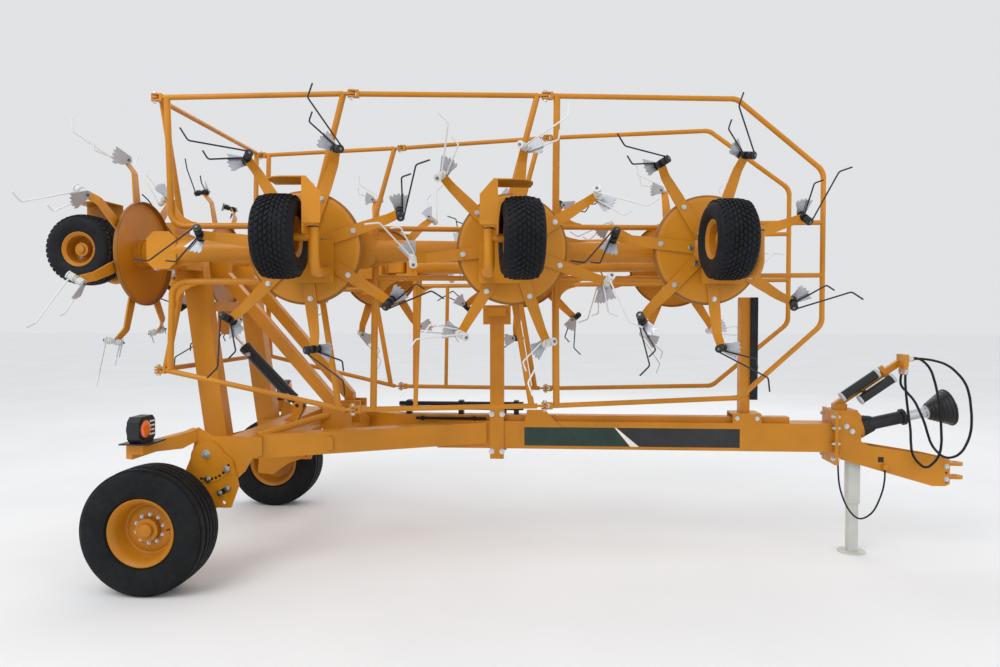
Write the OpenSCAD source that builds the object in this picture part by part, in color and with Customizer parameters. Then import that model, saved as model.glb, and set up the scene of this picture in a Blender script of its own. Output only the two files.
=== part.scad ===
// Trailed eight-rotor hay tedder, folded for the road and parked on its jack.
// X points to the drawbar, Y to the machine's left, Z up from the ground.
// The right wing is modelled and the left one is its mirror image.

/* [Rotor row] */
// Spacing of the rotors along the working width
pitch = 1250; // [1200:10:1300]
// Distance from a rotor's centre out to the next fold pin
pin_offset = 240; // [225:5:255]
// Distance from the plane of the fold pins to a rotor's dish
dish_offset = 240; // [225:5:255]
// Height of the rotors' centres above the ground
rotor_z = 2120; // [2080:10:2200]

/* [Rotor] */
// Diameter of the dish
dish_d = 690; // [640:10:740]
// Arms on a rotor
arms = 7; // [6:1:7]
// Radius at which the tine coils sit
coil_r = 620; // [600:5:640]
// Length of the long tine of a pair, up to its hook
tine_l = 335; // [300:5:350]
// Diameter of the tine wire
wire_d = 10; // [8:1:12]

/* [Wheels] */
// Outer diameter of a road tyre
road_tyre_d = 784; // [760:4:800]
// Width of a road tyre
road_tyre_w = 280; // [260:5:290]
// Distance between the road tyres' middles
track = 2160; // [2140:10:2200]
// Outer diameter of a rotor wheel's tyre
rotor_tyre_d = 475; // [440:5:490]
// Width of a rotor wheel's tyre
rotor_tyre_w = 236; // [210:2:240]

/* [Chassis] */
// Height of the main beam
beam_h = 200; // [180:5:220]
// Width of the main beam
beam_w = 180; // [160:5:200]
// Height of the main beam's middle above the ground
beam_z = 835; // [820:5:850]
// Outer diameter of the guard rails
rail_d = 34; // [30:1:38]
// Outer diameter of the rotor row's tube
row_d = 140; // [120:5:150]

/* [Hidden] */
$fn = 48;

// Paint and rubber colours
yellow = [0.86, 0.53, 0.08];
black = [0.05, 0.05, 0.055];
steel = [0.62, 0.63, 0.65];

// Plan of the row: fold pin of the right wing and the three sections' inward leans
fold_x = -50;
fold_y = pitch / 2 + pin_offset;
leans = [4, 9, 7];
rotor_u = pitch - pin_offset;
// Phase of the arms on rotors 1 to 4 of the right and the left side, in degrees
phases = [[32.43, 19.0, 32.43, 19.0], [6.71, 44.71, 6.71, 44.71]];

// Overall reach, which puts the origin under the middle of the object
clevis_tip_x = 5400;
clevis_x = clevis_tip_x - 50;
hitch_top = 1034;
jack_x = 4640;
jack_w = 80;
jack_top = 800;
wheel_z = 380;
rear_x = fold_x - dish_offset - wheel_z - rotor_tyre_d / 2;
x_mid = (clevis_tip_x + rear_x) / 2;

// Guard heights from the rotors' centres: top at the four pins, bottom at the four pins
guard_top = [975, 1000, 1020, 1020];
guard_low = [-765, -1020, -1010, -965];

// Tilting frame: its pivot on the chassis and the cylinder's two eyes
tilt_pin = [170, 800];
lower_eye = [575, 1030];
upper_eye = [30, 1600];
post_y = 450;
post_w = 110;
leg_y = 230;
tilt_pin_d = 50;
tilt_gap = 11;
lug_t = 20;
lug_r = 60;
eye_pin_d = 29;
eye_w = 60;
eye_gap = 4;
foot_x = 870;
foot_z = 1000;

// Chassis
leg_top_z = 925;
leg_h = 150;
leg_w = 110;
leg_end = [530, 745];
leg_start = [1980, 60];
beam_rear_x = 1640;
beam_front_x = 4470;
cross_x = 390;
axle_z = road_tyre_d / 2;
arm_y = 800;
plate_t = 20;
tray_w = 90;
tray_up = 40;
running_gap = 0.3;

// Moves a piece from the axle's frame to the object's own origin
module placed() {
    translate([-x_mid, 0, 0]) children();
}

// Puts a right-hand piece on the side wanted: -1 right, 1 left
module on_side(side) {
    if (side > 0) mirror([0, 1, 0]) children();
    else children();
}

// Pin i of the right wing in plan
function wing_pin(i) = i == 0 ? [fold_x, -fold_y]
    : wing_pin(i - 1) + pitch * [cos(leans[i - 1]), sin(leans[i - 1])];

// Frame of wing section i: X along the section, -Y to the rotors' working face
module in_section(i, side) {
    placed() on_side(side) translate([wing_pin(i)[0], wing_pin(i)[1], rotor_z])
        rotate([0, 0, leans[i]]) children();
}

// Frame of a rotor: +Z to the ground side, X outboard, Y up in the folded state
module in_rotor(i, side) {
    if (i == 1) placed() on_side(side) translate([fold_x - dish_offset, -pitch / 2, rotor_z])
        rotate([0, 0, -90]) rotate([90, 0, 0]) children();
    else in_section(i - 2, side) translate([rotor_u, -dish_offset, 0]) rotate([90, 0, 0]) children();
}

// Round bar between two points
module rod(a, b, d) {
    v = b - a;
    l = norm(v);
    translate(a) rotate([0, acos(v[2] / l), atan2(v[1], v[0])]) cylinder(d = d, h = l);
}

// Bent round tube through a list of points
module tube_run(points, d, ball = 1.2) {
    for (k = [0 : len(points) - 2]) rod(points[k], points[k + 1], d);
    if (len(points) > 2) for (k = [1 : len(points) - 2]) translate(points[k]) sphere(d = ball * d);
}

// Length that a bend of radius r takes from the tube a-b at the corner b
function bend_reach(a, b, c, r) = r * tan((180 - acos((a - b) * (c - b) / norm(a - b) / norm(c - b))) / 2);

// One bend of a tube at a corner, a little thicker than the tube
module elbow(corner, from, to, r, d) {
    u = (from - corner) / norm(from - corner);
    w = (to - corner) / norm(to - corner);
    turn = 180 - acos(u * w);
    start = corner + bend_reach(from, corner, to, r) * u;
    n = cross(-u, w) / norm(cross(-u, w));
    side = cross(n, -u);
    multmatrix([[-side[0], -u[0], n[0], start[0] + r * side[0]],
        [-side[1], -u[1], n[1], start[1] + r * side[1]],
        [-side[2], -u[2], n[2], start[2] + r * side[2]]])
        rotate_extrude(angle = turn) translate([r, 0]) circle(d = d);
}

// Tube with smooth bends of radius r at the points between its ends
lap = 2;
module bent_tube(points, d, r) {
    last = len(points) - 2;
    for (k = [0 : last]) {
        a = points[k];
        b = points[k + 1];
        along = (b - a) / norm(b - a);
        before = k == 0 ? 0 : bend_reach(points[k - 1], a, b, r) - lap;
        after = k == last ? 0 : bend_reach(a, b, points[k + 2], r) - lap;
        rod(a + before * along, b - after * along, d);
    }
    for (k = [1 : last]) elbow(points[k], points[k - 1], points[k + 1], r, d + 2);
}

// Outline of a rectangle with cut corners
function cut_corners(x0, x1, y0, y1, c) = [[x0 + c, y0], [x1 - c, y0], [x1, y0 + c], [x1, y1 - c],
    [x1 - c, y1], [x0 + c, y1], [x0, y1 - c], [x0, y0 + c]];

// Plate that fills a corner between two tubes, its free edge hollowed by an arc
gusset_leg = 170;
gusset_t = 8;
module corner_gusset(u, y, z, up) {
    tip = 18;
    hollow = 182;
    translate([u, y, z]) scale([1, 1, up]) difference() {
        plate_xz([[0, 0], [gusset_leg, 0], [gusset_leg, tip], [tip, gusset_leg], [0, gusset_leg]], 0, gusset_t);
        translate([hollow, gusset_t, hollow]) rotate([90, 0, 0]) cylinder(r = 160, h = 2 * gusset_t);
    }
}

// Square bar between two points of a vertical plane along X
module strut_xz(a, b, y, w, h) {
    v = b - a;
    translate([a[0], y, a[1]]) rotate([0, -atan2(v[1], v[0]), 0])
        translate([0, -w / 2, -h / 2]) cube([norm(v), w, h]);
}

// Plate in the XZ plane, its thickness centred on y
module plate_xz(points, y, t) {
    translate([0, y + t / 2, 0]) rotate([90, 0, 0]) linear_extrude(t) polygon(points);
}

// Chassis

module wishbone_leg() {
    v = leg_end - leg_start;
    translate([leg_start[0], -leg_start[1], leg_top_z - leg_h / 2]) rotate([0, 0, -atan2(v[1], v[0])])
        translate([0, -leg_w / 2, -leg_h / 2]) cube([norm(v), leg_w, leg_h]);
}

module wheel_bracket() {
    plate_xz([[110, 690], [150, 880], [172, 976], [262, 918], [600, 918], [600, 800], [530, 772], [482, 690],
        [420, 634], [400, 596], [250, 600], [150, 640]], -arm_y + 2 + plate_t / 2, plate_t);
}

// Two lugs with the pin that the tilting frame's post turns on
module tilt_lugs() {
    reach = post_w / 2 + tilt_gap;
    for (s = [-1, 1]) translate([0, s * (reach + lug_t / 2), 0]) {
        plate_xz([[tilt_pin[0], tilt_pin[1] + lug_r], [cross_x + 10, leg_top_z - 10], [cross_x + 10, 780],
            [tilt_pin[0], tilt_pin[1] - lug_r]], -post_y, lug_t);
        translate([tilt_pin[0], -post_y + lug_t / 2, tilt_pin[1]]) rotate([90, 0, 0]) cylinder(r = lug_r, h = lug_t);
    }
    translate([tilt_pin[0], -post_y + reach + lug_t + 8, tilt_pin[1]]) rotate([90, 0, 0])
        cylinder(d = tilt_pin_d, h = 2 * (reach + lug_t + 8));
}

module chassis_frame() {
    color(yellow) placed() difference() {
        union() {
            translate([beam_rear_x, -beam_w / 2, beam_z - beam_h / 2])
                cube([beam_front_x - beam_rear_x, beam_w, beam_h]);
            for (side = [-1, 1]) on_side(side) {
                wishbone_leg();
                wheel_bracket();
                tilt_lugs();
                brace_and_saddle();
                lamp_arm();
            }
            // Cross tube between the legs' ends, and the one that carries the saddle
            translate([cross_x, -arm_y + 10, leg_top_z - leg_h + 6]) cube([150, 2 * arm_y - 20, leg_h - 12]);
            translate([920, -600, 800]) cube([90, 1200, 90]);
            // Hose tray on the beam
            translate([1330, -tray_w / 2, beam_z + beam_h / 2 - 60]) cube([2850, tray_w, 60 + tray_up]);
            // Cylinder lugs
            for (s = [-1, 1]) plate_xz([[440, 900], [530, 955], [548, 1050], [575, 1072], [615, 1050],
                [615, 1005], [560, 900]], s * (eye_w / 2 + eye_gap + 8), 16);
            // Trapezoid plate on the beam's near side
            plate_xz([[2250, 800], [2300, 1020], [2430, 1020], [2600, 830], [2600, 800]], -beam_w / 2 - 2, 12);
        }
        translate([lower_eye[0], 60, lower_eye[1]]) rotate([90, 0, 0]) cylinder(d = eye_pin_d + 1, h = 120);
    }
}

// Brace from the near leg's end up to the saddle that carries the tilting frame's foot
module brace_and_saddle() {
    rod([545, -730, 915], [900, -330, 1000], 50);
    for (y = [-110, 80]) translate([foot_x - 10, -leg_y + y, 860]) cube([150, 30, foot_z - 860 + 50]);
    translate([foot_x - 10, -leg_y - 110, 860]) cube([150, 220, foot_z - 860 - running_gap]);
}

// Tapered arm out to the lamp, built along its own length and turned out from the bracket
lamp_root = [152, -782];
lamp_end = [-62, -1190];
lamp_z = 950;
module lamp_arm() {
    v = lamp_end - lamp_root;
    reach = norm(v);
    translate([lamp_root[0], lamp_root[1], 0]) rotate([0, 0, atan2(v[1], v[0])])
        plate_xz([[0, 892], [0, 970], [60, 956], [reach, 918], [reach, 842], [300, 866], [120, 856]], 0, 60);
    translate([-48, -1236, 880]) cube([100, 90, lamp_z - 880]);
}

stub_d = 61;
swing_pin = [245, 778];
module axle_arms() {
    color(yellow) placed() for (side = [-1, 1]) on_side(side) {
        difference() {
            union() {
                plate_xz([[-70, axle_z - 60], [-62, axle_z + 60], [100, 700], [138, 790], [235, 880], [296, 870],
                    [415, 765], [450, 600], [398, 458], [310, 458], [200, 420], [60, axle_z - 70]],
                    -arm_y + 2 - plate_t / 2, plate_t);
                translate([swing_pin[0], -arm_y + 2, swing_pin[1]]) rotate([90, 0, 0]) cylinder(r = 112, h = plate_t);
            }
            translate([352, -arm_y + 20, 490]) rotate([90, 0, 0]) cylinder(d = 26, h = 60);
        }
        translate([0, -arm_y - 5, axle_z]) rotate([90, 0, 0]) cylinder(d = 90, h = 65);
        translate([0, -arm_y - 60, axle_z]) rotate([90, 0, 0]) cylinder(d = stub_d, h = track / 2 - arm_y);
    }
}

post_mid_x = 2080;
post_front_x = 3900;
post_plate = 16;
beam_top = beam_z + beam_h / 2;
beam_low = beam_z - beam_h / 2;
module rest_posts() {
    near = -beam_w / 2 - post_plate;
    color(yellow) placed() {
        // Middle post: plate on the beam's near face, box above it and a cross head
        translate([post_mid_x - 50, near, beam_low - 75]) cube([100, post_plate, 1080]);
        translate([post_mid_x - 50, near + post_plate - 2, beam_top + 65]) cube([100, 60, 700]);
        translate([post_mid_x - 100, near, 1640]) cube([200, post_plate, 140]);
        translate([post_mid_x - 70, -150, 1700]) cube([140, 300, 60]);
        // Its clamp: a plate on the far face and four bolts above and below the beam
        translate([post_mid_x - 60, beam_w / 2, beam_low - 45]) cube([120, 12, beam_h + 110]);
        for (x = [-38, 38], z = [beam_low - 20, beam_top + tray_up + 12])
            translate([post_mid_x + x, beam_w / 2 + 22, z]) rotate([90, 0, 0]) cylinder(d = 18, h = beam_w + 48);
        // Front post: saddle over the hose tray and an upright box
        for (y = [-beam_w / 2, beam_w / 2 - 12]) translate([post_front_x - 130, y, beam_top]) cube([200, 12, 70]);
        translate([post_front_x - 130, -beam_w / 2, beam_top + 58]) cube([200, beam_w, 12]);
        translate([post_front_x - 70, -40, beam_top + 60]) cube([70, 80, 840]);
    }
}

module rest_pad() {
    color(black) placed() translate([post_front_x, -60, 1100]) cube([50, 120, 735]);
}

// Front end

hitch_y = 85;
hitch_t = 14;
module hitch_side(y) {
    plate_xz([[beam_front_x, 700], [beam_front_x, 1010], [4500, hitch_top], [4630, hitch_top], [4662, 1000], [4662, 815],
        [4725, 782], [5150, 716], [5270, 690], [5270, 520], [5240, 505], [5150, 505]], y, hitch_t);
}

module hitch_frame() {
    inner = hitch_y - hitch_t / 2;
    color(yellow) placed() difference() {
        union() {
            for (y = [-hitch_y, hitch_y]) hitch_side(y);
            // Flange on the beam's end, box top and front, web and nose block
            translate([beam_front_x, -130, 650]) cube([22, 260, hitch_top - 650]);
            translate([4480, -hitch_y, hitch_top - hitch_t]) cube([160, 2 * hitch_y, hitch_t]);
            translate([4648, -hitch_y, 850]) cube([hitch_t, 2 * hitch_y, 150]);
            translate([4760, -hitch_y, 650]) cube([60, 2 * hitch_y, 90]);
            translate([5130, -hitch_y, 520]) cube([130, 2 * hitch_y, 160]);
            // Bearing ring from which the drive shaft leaves
            along_drive_axis() translate([0, 0, -30]) cylinder(r = 84, h = 30);
            // Clips of the cable under the tongue
            for (clip = [[4500, 700], [4820, 620]]) translate([clip[0] - 14, -120, clip[1]]) cube([28, 30, 36]);
            // Cross plates that hold the jack
            for (x = [jack_x - jack_w / 2 - 12, jack_x + jack_w / 2]) translate([x, -inner, 680]) cube([12, 2 * inner, 110]);
        }
        for (y = [-60, 60]) translate([5200, y, 490]) cylinder(d = 18, h = 260);
    }
}

module hitch_clevis() {
    color(yellow) placed() difference() {
        union() {
            translate([5260, -60, 530]) cube([20, 120, 160]);
            for (z = [545, 640]) translate([5270, -45, z]) cube([80, 90, 20]);
            for (z = [545, 640]) translate([clevis_x, 0, z]) cylinder(r = clevis_tip_x - clevis_x, h = 20);
        }
        translate([clevis_x, 0, 530]) cylinder(d = 33, h = 150);
        for (z = [570, 650]) translate([5250, 0, z]) rotate([0, 90, 0]) cylinder(d = 17, h = 60);
    }
}

module jack_tube() {
    bore = jack_w - 14;
    color(steel) placed() difference() {
        translate([jack_x - jack_w / 2, -jack_w / 2, 360]) cube([jack_w, jack_w, jack_top - 360]);
        translate([jack_x - bore / 2, -bore / 2, 350]) cube([bore, bore, 500]);
    }
}

module jack_leg() {
    leg = jack_w - 15;
    color(steel) placed() {
        translate([jack_x - leg / 2, -leg / 2, 10]) cube([leg, leg, 480]);
        translate([jack_x, 0, 0]) cylinder(d = 190, h = 10);
    }
}

// Drive shaft to the tractor: tubes and guards along one sloping line
drive_start = [4684, 0, 910];
drive_end = [5300, 0, 1052];
drive_tilt = -atan2(drive_end[2] - drive_start[2], drive_end[0] - drive_start[0]);

module along_drive_axis() {
    translate(drive_start) rotate([0, 90 + drive_tilt, 0]) children();
}

drive_r = 36;
// Where the black tube ends and the bell begins; between them the inner tube shows
tube_end = 320;
bell_start = 480;
module drive_guards() {
    color(black) placed() along_drive_axis() difference() {
        union() {
            cylinder(r1 = 80, r2 = 52, h = 95);
            cylinder(r = 45, h = tube_end - 4);
            translate([0, 0, tube_end - 24]) cylinder(r = 56, h = 24);
            translate([0, 0, bell_start]) cylinder(r1 = 55, r2 = 130, h = 150);
        }
        translate([0, 0, -1]) cylinder(r = drive_r, h = 700);
        translate([0, 0, 510]) cylinder(r1 = 46, r2 = 122, h = 121);
    }
}

module drive_shaft() {
    color(steel) placed() along_drive_axis() {
        cylinder(r = drive_r - running_gap, h = 600);
        translate([0, 0, bell_start - 14]) cylinder(r = 46, h = 14);
        translate([0, 0, 595]) cylinder(r = 46, h = 25);
        for (y = [-46, 28]) translate([-24, y, 615]) cube([48, 18, 60]);
    }
}

// Sloping bar that holds the hoses, and the two document tubes clamped to its near side
holder_start = [4500, 1056];
holder_end = [4950, 1375];
holder_y = -20;
holder_w = 40;
clamp_t = 20;
can_d = 64;
holder_tilt = atan2(holder_end[1] - holder_start[1], holder_end[0] - holder_start[0]);
module hose_holder() {
    v = holder_end - holder_start;
    color(yellow) placed() {
        strut_xz(holder_start, holder_end, holder_y, holder_w, 44);
        translate([4490, -50, hitch_top]) cube([90, 60, 40]);
        for (t = [0.4, 0.75]) translate([holder_start[0] + t * v[0], holder_y - holder_w / 2 - clamp_t,
            holder_start[1] + t * v[1]]) rotate([0, -holder_tilt, 0])
            translate([-15, 0, -60]) cube([30, clamp_t + 4, 120]);
        // Rack on the bar's end: outlets towards the front and sockets underneath
        translate([4934, rack_y - 34, 1348]) cube([32, 118, 84]);
        for (t = outlets) translate([4960, t[0], outlet[1]]) rotate([0, 90, 0])
            cylinder(d = t[1], h = outlet[0] - 4960);
        for (t = sockets) translate([t[0], t[1], socket_z]) cylinder(d = 34, h = 70);
    }
}

// Free hoses: outer diameter, then the route's points, each a round number.
// Both run from an outlet of the rack, hang in a loop and end in a socket of the rack.
rack_y = -90;
outlet = [5000, 1400];
hose_d = 17;
// Outlets: place across, diameter
outlets = [[-60, 32], [-110, 32]];
// Sockets: place along, place across
sockets = [[4950, -110], [4950, -50]];
socket_z = 1290;
short_route = [[5000, -60, 1400], [5060, -60, 1400], [5130, -80, 1330], [5160, -130, 1150], [5175, -155, 900],
    [5160, -160, 740], [5075, -155, 650], [4990, -145, 740], [4980, -130, 900], [4960, -115, 1100],
    [4950, -110, 1230], [4950, -110, 1290]];
long_route = [[5000, -110, 1400], [5080, -110, 1400], [5220, -130, 1360], [5320, -170, 1240], [5350, -190, 1080],
    [5345, -200, 900], [5280, -200, 760], [5180, -195, 730], [5090, -195, 820], [5050, -180, 960],
    [5010, -110, 1110], [4950, -50, 1210], [4950, -50, 1290]];
// Cable that hangs in a loop under the tongue between two clips
cable_d = 12;
cable_route = [[4500, -106, 700], [4500, -106, 620], [4515, -108, 480], [4570, -110, 340], [4650, -110, 270],
    [4740, -110, 320], [4800, -108, 450], [4820, -106, 550], [4820, -106, 620]];

// A point between the inner points k and k + 1 of a route, smoothed
function between(p, k, t) = 0.5 * (2 * p[k] + t * (p[k + 1] - p[k - 1])
    + t * t * (2 * p[k - 1] - 5 * p[k] + 4 * p[k + 1] - p[k + 2])
    + t * t * t * (3 * p[k] - p[k - 1] - 3 * p[k + 1] + p[k + 2]));
function smoothed(route, steps) = let (n = len(route),
    p = concat([2 * route[0] - route[1]], route, [2 * route[n - 1] - route[n - 2]]))
    concat([for (k = [1 : n - 1], s = [0 : steps - 1]) between(p, k, s / steps)], [route[n - 1]]);
function unit(v) = v / norm(v);
// Ring of a cord round point p, square to the way t
function ring(p, t, r, sides) = let (a = unit(cross([0, 1, 0], t)), b = cross(t, a))
    [for (k = [0 : sides - 1]) p + r * (cos(360 * k / sides) * a + sin(360 * k / sides) * b)];

module cord(route, d, steps, sides = 8) {
    p = smoothed(route, steps);
    n = len(p);
    last = len(route) - 1;
    way = [for (k = [0 : n - 1]) k == 0 ? unit(route[1] - route[0])
        : k == n - 1 ? unit(route[last] - route[last - 1]) : unit(p[k + 1] - p[k - 1])];
    points = [for (k = [0 : n - 1]) each ring(p[k], way[k], d / 2, sides)];
    walls = [for (k = [0 : n - 2], j = [0 : sides - 1]) let (a = k * sides + j, b = k * sides + (j + 1) % sides)
        each [[a, b, b + sides], [a, b + sides, a + sides]]];
    ends = [[for (j = [0 : sides - 1]) sides - 1 - j], [for (j = [0 : sides - 1]) (n - 1) * sides + j]];
    color(black) placed() polyhedron(points = points, faces = concat(walls, ends));
}

module hose_short() { cord(short_route, hose_d, 2); }
module hose_long() { cord(long_route, hose_d, 2); }
module hose_cable() { cord(cable_route, cable_d, 3); }

// Hoses that the beam carries: a bundle above the tray and one line along the beam's near edge
bundle_d = 27;
module beam_hoses() {
    color(black) placed() {
        for (y = [-15.5, 15.5], z = [1018, 1050]) translate([1345, y, z]) rotate([0, 90, 0])
            cylinder(d = bundle_d, h = 925);
        for (x = [1400, 1790, 2200]) translate([x, -38, beam_z + beam_h / 2 + tray_up]) cube([36, 76, 100]);
        translate([1480, -72, 950]) rotate([0, 90, 0]) cylinder(d = 20, h = 520);
        for (x = [1520, 1900]) translate([x, -86, beam_z + beam_h / 2]) cube([20, 28, 30]);
    }
}

module manual_tubes() {
    v = holder_end - holder_start;
    // Start and end of each tube along the bar, and its distance above the bar
    tubes = [[60, 360, 45], [150, 430, -45]];
    color(black) placed() for (t = tubes) translate([holder_start[0], holder_y - holder_w / 2 - clamp_t
        - can_d / 2 - running_gap, holder_start[1]]) rotate([0, 90 - holder_tilt, 0])
        translate([-t[2], 0, t[0]]) cylinder(d = can_d, h = t[1] - t[0]);
}

lamp_x = -15;
lamp_y = 1200;
lamp_w = 180;
lamp_h = 156;
lamp_t = 74;
lens_r = 52;
module lamp_housings() {
    color(black) placed() for (side = [-1, 1]) on_side(side) {
        translate([lamp_x, -lamp_y, lamp_z + lamp_h / 2]) rotate([0, 90, 0])
            linear_extrude(lamp_t) polygon(cut_corners(-lamp_h / 2, lamp_h / 2, -lamp_w / 2, lamp_w / 2, 28));
    }
}

module lamp_lenses() {
    color([0.9, 0.3, 0.05]) placed() for (side = [-1, 1]) on_side(side) {
        for (x = [lamp_x - 10, lamp_x + lamp_t]) translate([x, -lamp_y - 30, lamp_z + lamp_h / 2 + 4])
            rotate([0, 90, 0]) cylinder(r = lens_r, h = 10);
    }
}

// Road wheels, built on the right side

seat_r = 210;
module road_rim() {
    hub_r = stub_d / 2 + 0.5;
    bead_r = seat_r - running_gap;
    rotate_extrude() polygon([[hub_r, -60], [70, -60], [70, -18], [150, -18], [165, -60], [185, -100],
        [bead_r, -112], [bead_r, -88], [192, -84], [184, -60], [178, 60], [188, 84], [bead_r, 88], [bead_r, 112],
        [185, 100], [168, 64], [160, -6], [150, -4], [70, -4], [70, 40], [hub_r, 40]]);
}

module road_tyre() {
    h = road_tyre_w / 2;
    r = road_tyre_d / 2;
    rotate_extrude() polygon([[seat_r, -104], [225, -124], [r - 100, -h], [r - 40, -h + 6], [r - 14, -h + 26],
        [r, -h + 60], [r, h - 60], [r - 14, h - 26], [r - 40, h - 6], [r - 100, h], [225, 124],
        [seat_r, 104], [seat_r, 88], [196, 78], [200, 0], [196, -78], [seat_r, -88]]);
}

module at_road_wheel(side) {
    placed() on_side(side) translate([0, -track / 2, axle_z]) rotate([90, 0, 0]) children();
}

module right_rim() { color(yellow) at_road_wheel(-1) road_rim(); }
module left_rim() { color(yellow) at_road_wheel(1) road_rim(); }
module right_tyre() { color(black) at_road_wheel(-1) road_tyre(); }
module left_tyre() { color(black) at_road_wheel(1) road_tyre(); }

// Collar behind the dish, and the fixed stem that it turns on
collar = 50;
stem_d = 84;

// Gearbox behind a rotor and the fixed tube through it that carries its wheel.
// In the section's frame: X along the row, -Y to the dish.
module gearbox(u, set) {
    translate([u, 0, 0]) {
        translate([-110, -60, -110]) cube([220, 190, 220]);
        rotate([90, 0, 0]) cylinder(d = 190, h = dish_offset - collar - 2);
        rotate([90, 0, 0]) cylinder(d = stem_d, h = dish_offset + 60);
        wheel_leg(set);
    }
}

// Wheels of rotors 1 to 4: side of the leg (1 outboard), shift along the row, 1 where a shield stands
wheel_sets = [[-1, 0, 1], [1, -40, 1], [-1, 10, 1], [1, -15, 0]];
axle_w = 28;
leg_out = 185;
axle_d = 50;
leg_d = 60;
shield_top = 350;
shield_t = 6;
// Built with the leg inboard and mirrored where it stands outboard
module wheel_leg(set) {
    leg_u = -set[0] * set[1] - leg_out;
    face = -dish_offset - 46;
    depth = -dish_offset - wheel_z;
    mirror([set[0] > 0 ? 1 : 0, 0, 0]) {
        // Plate on the fixed tube's end, bent tube up to the axle, its cap, and the axle stub
        translate([leg_u - 40, face - 16, -215]) cube([270, 16, 255]);
        bent_tube([[leg_u, face - 8, -150], [leg_u, depth, -170], [leg_u, depth, axle_w + 50]], leg_d, 90);
        translate([leg_u, depth, axle_w]) rotate([0, 90, 0]) cylinder(d = axle_d, h = leg_out + 60);
        if (set[2]) shield(leg_u + 36, depth);
    }
}

// Bent sheet between leg and tyre: upright wall, roof over the tyre and a wing that faces out
module shield(u, depth) {
    near = depth - 90;
    translate([u, near, axle_w + 10]) cube([shield_t, 260, shield_top - axle_w - 10]);
    translate([u, near, shield_top - shield_t]) linear_extrude(shield_t)
        polygon([[0, 0], [120, 0], [175, 22], [210, 70], [222, 140], [222, 260], [0, 260]]);
    plate_xz([[u, 95], [u, shield_top], [u - 18, shield_top], [u - 96, 262], [u - 96, 95]], near + shield_t / 2,
        shield_t);
    translate([u - 38, depth - 20, axle_w + 14]) cube([42, 40, 30]);
}

// Knuckles of a fold joint about a vertical pin
knuckle_r = 48;
cover_y = 60;
cover_t = 8;
module inner_knuckle() {
    cylinder(r = knuckle_r, h = 110, center = true);
    translate([-110, -knuckle_r, -55]) cube([110, 2 * knuckle_r, 110]);
    cylinder(d = 30, h = 230, center = true);
}

module outer_knuckle() {
    difference() {
        union() {
            for (s = [-1, 1]) translate([0, 0, s * 75]) {
                cylinder(r = knuckle_r, h = 28, center = true);
                translate([0, -knuckle_r, -14]) cube([130, 2 * knuckle_r, 28]);
            }
            translate([70, -knuckle_r, -89]) cube([60, 2 * knuckle_r, 178]);
            // Cover over the joint on the rotors' side, its rib, and the fin that runs out to the row tube
            translate([0, -cover_y, 0]) rotate([90, 0, 0]) linear_extrude(cover_t)
                polygon(cut_corners(-35, 150, -118, 118, 44));
            translate([84, -cover_y - 3, -66]) cube([38, 40, 132]);
            plate_xz([[104, -110], [104, 110], [340, 58], [340, -58]], 0, 14);
        }
        cylinder(d = 31, h = 300, center = true);
    }
}

// Guard joint: a tongue between two fork plates on the same pin line
module rail_tongue(z) {
    translate([0, 0, z]) {
        cylinder(r = 24, h = 14, center = true);
        translate([-60, -20, -7]) cube([60, 40, 14]);
        cylinder(d = 12, h = 62, center = true);
    }
}

fork_l = 50;
stay_u = 76;
module rail_fork(z) {
    translate([0, 0, z]) difference() {
        union() {
            for (s = [-1, 1]) translate([0, 0, s * 18]) {
                cylinder(r = 24, h = 9, center = true);
                translate([0, -20, -4.5]) cube([fork_l, 40, 9]);
            }
            translate([fork_l - 18, -20, -22]) cube([18, 40, 44]);
        }
        cylinder(d = 13, h = 80, center = true);
    }
}

module row_tube(from, to) {
    translate([from, 0, 0]) rotate([0, 90, 0]) cylinder(d = row_d, h = to - from);
}

// Top and bottom rails of section i between its pins
module rails(i) {
    top_a = [fork_l - 7, 0, guard_top[i]];
    top_b = [pitch - 52, 0, guard_top[i + 1]];
    low_a = [fork_l - 7, 0, guard_low[i]];
    low_b = [pitch - 52, 0, guard_low[i + 1]];
    rod(top_a, top_b, rail_d);
    rod(low_a, low_b, rail_d);
}

module section_core(set) {
    outer_knuckle();
    row_tube(120, rotor_u);
    gearbox(rotor_u, set);
    // Tower plate on the gearbox, to which the guard's stays run
    translate([rotor_u - 90, 40, -240]) cube([180, 12, 480]);
}

module section_outer_end() {
    row_tube(rotor_u, pitch - 100);
    translate([pitch, 0, 0]) inner_knuckle();
}

// Stays of the guard: diameter, and heights of the arms that run along the row tube
stay_d = 40;
arm_up = 165;
arm_low = 195;
module inner_section(side) {
    color(yellow) in_section(0, side) {
        section_core(wheel_sets[1]);
        section_outer_end();
        rails(0);
        rail_fork(guard_top[0]);
        rail_fork(guard_low[0]);
        translate([pitch, 0, 0]) {
            rail_tongue(guard_top[1]);
            rail_tongue(guard_low[1]);
        }
        bent_tube([[stay_u, 0, guard_top[0] - 3], [stay_u, 46, arm_up], [rotor_u - 60, 46, arm_up]], stay_d, 90);
        bent_tube([[stay_u, 0, guard_low[0] + 3], [stay_u, 46, -arm_low], [rotor_u - 60, 46, -arm_low]], stay_d, 90);
        corner_gusset(stay_u, 44, arm_up, 1);
        corner_gusset(stay_u, 44, -arm_low, -1);
        rod([rotor_u - 30, 46, 200], [rotor_u + 190, 0, guard_top[1]], stay_d);
        rod([rotor_u + 20, 46, -200], [rotor_u + 150, 0, guard_low[1] + 10], stay_d);
    }
}

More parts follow.
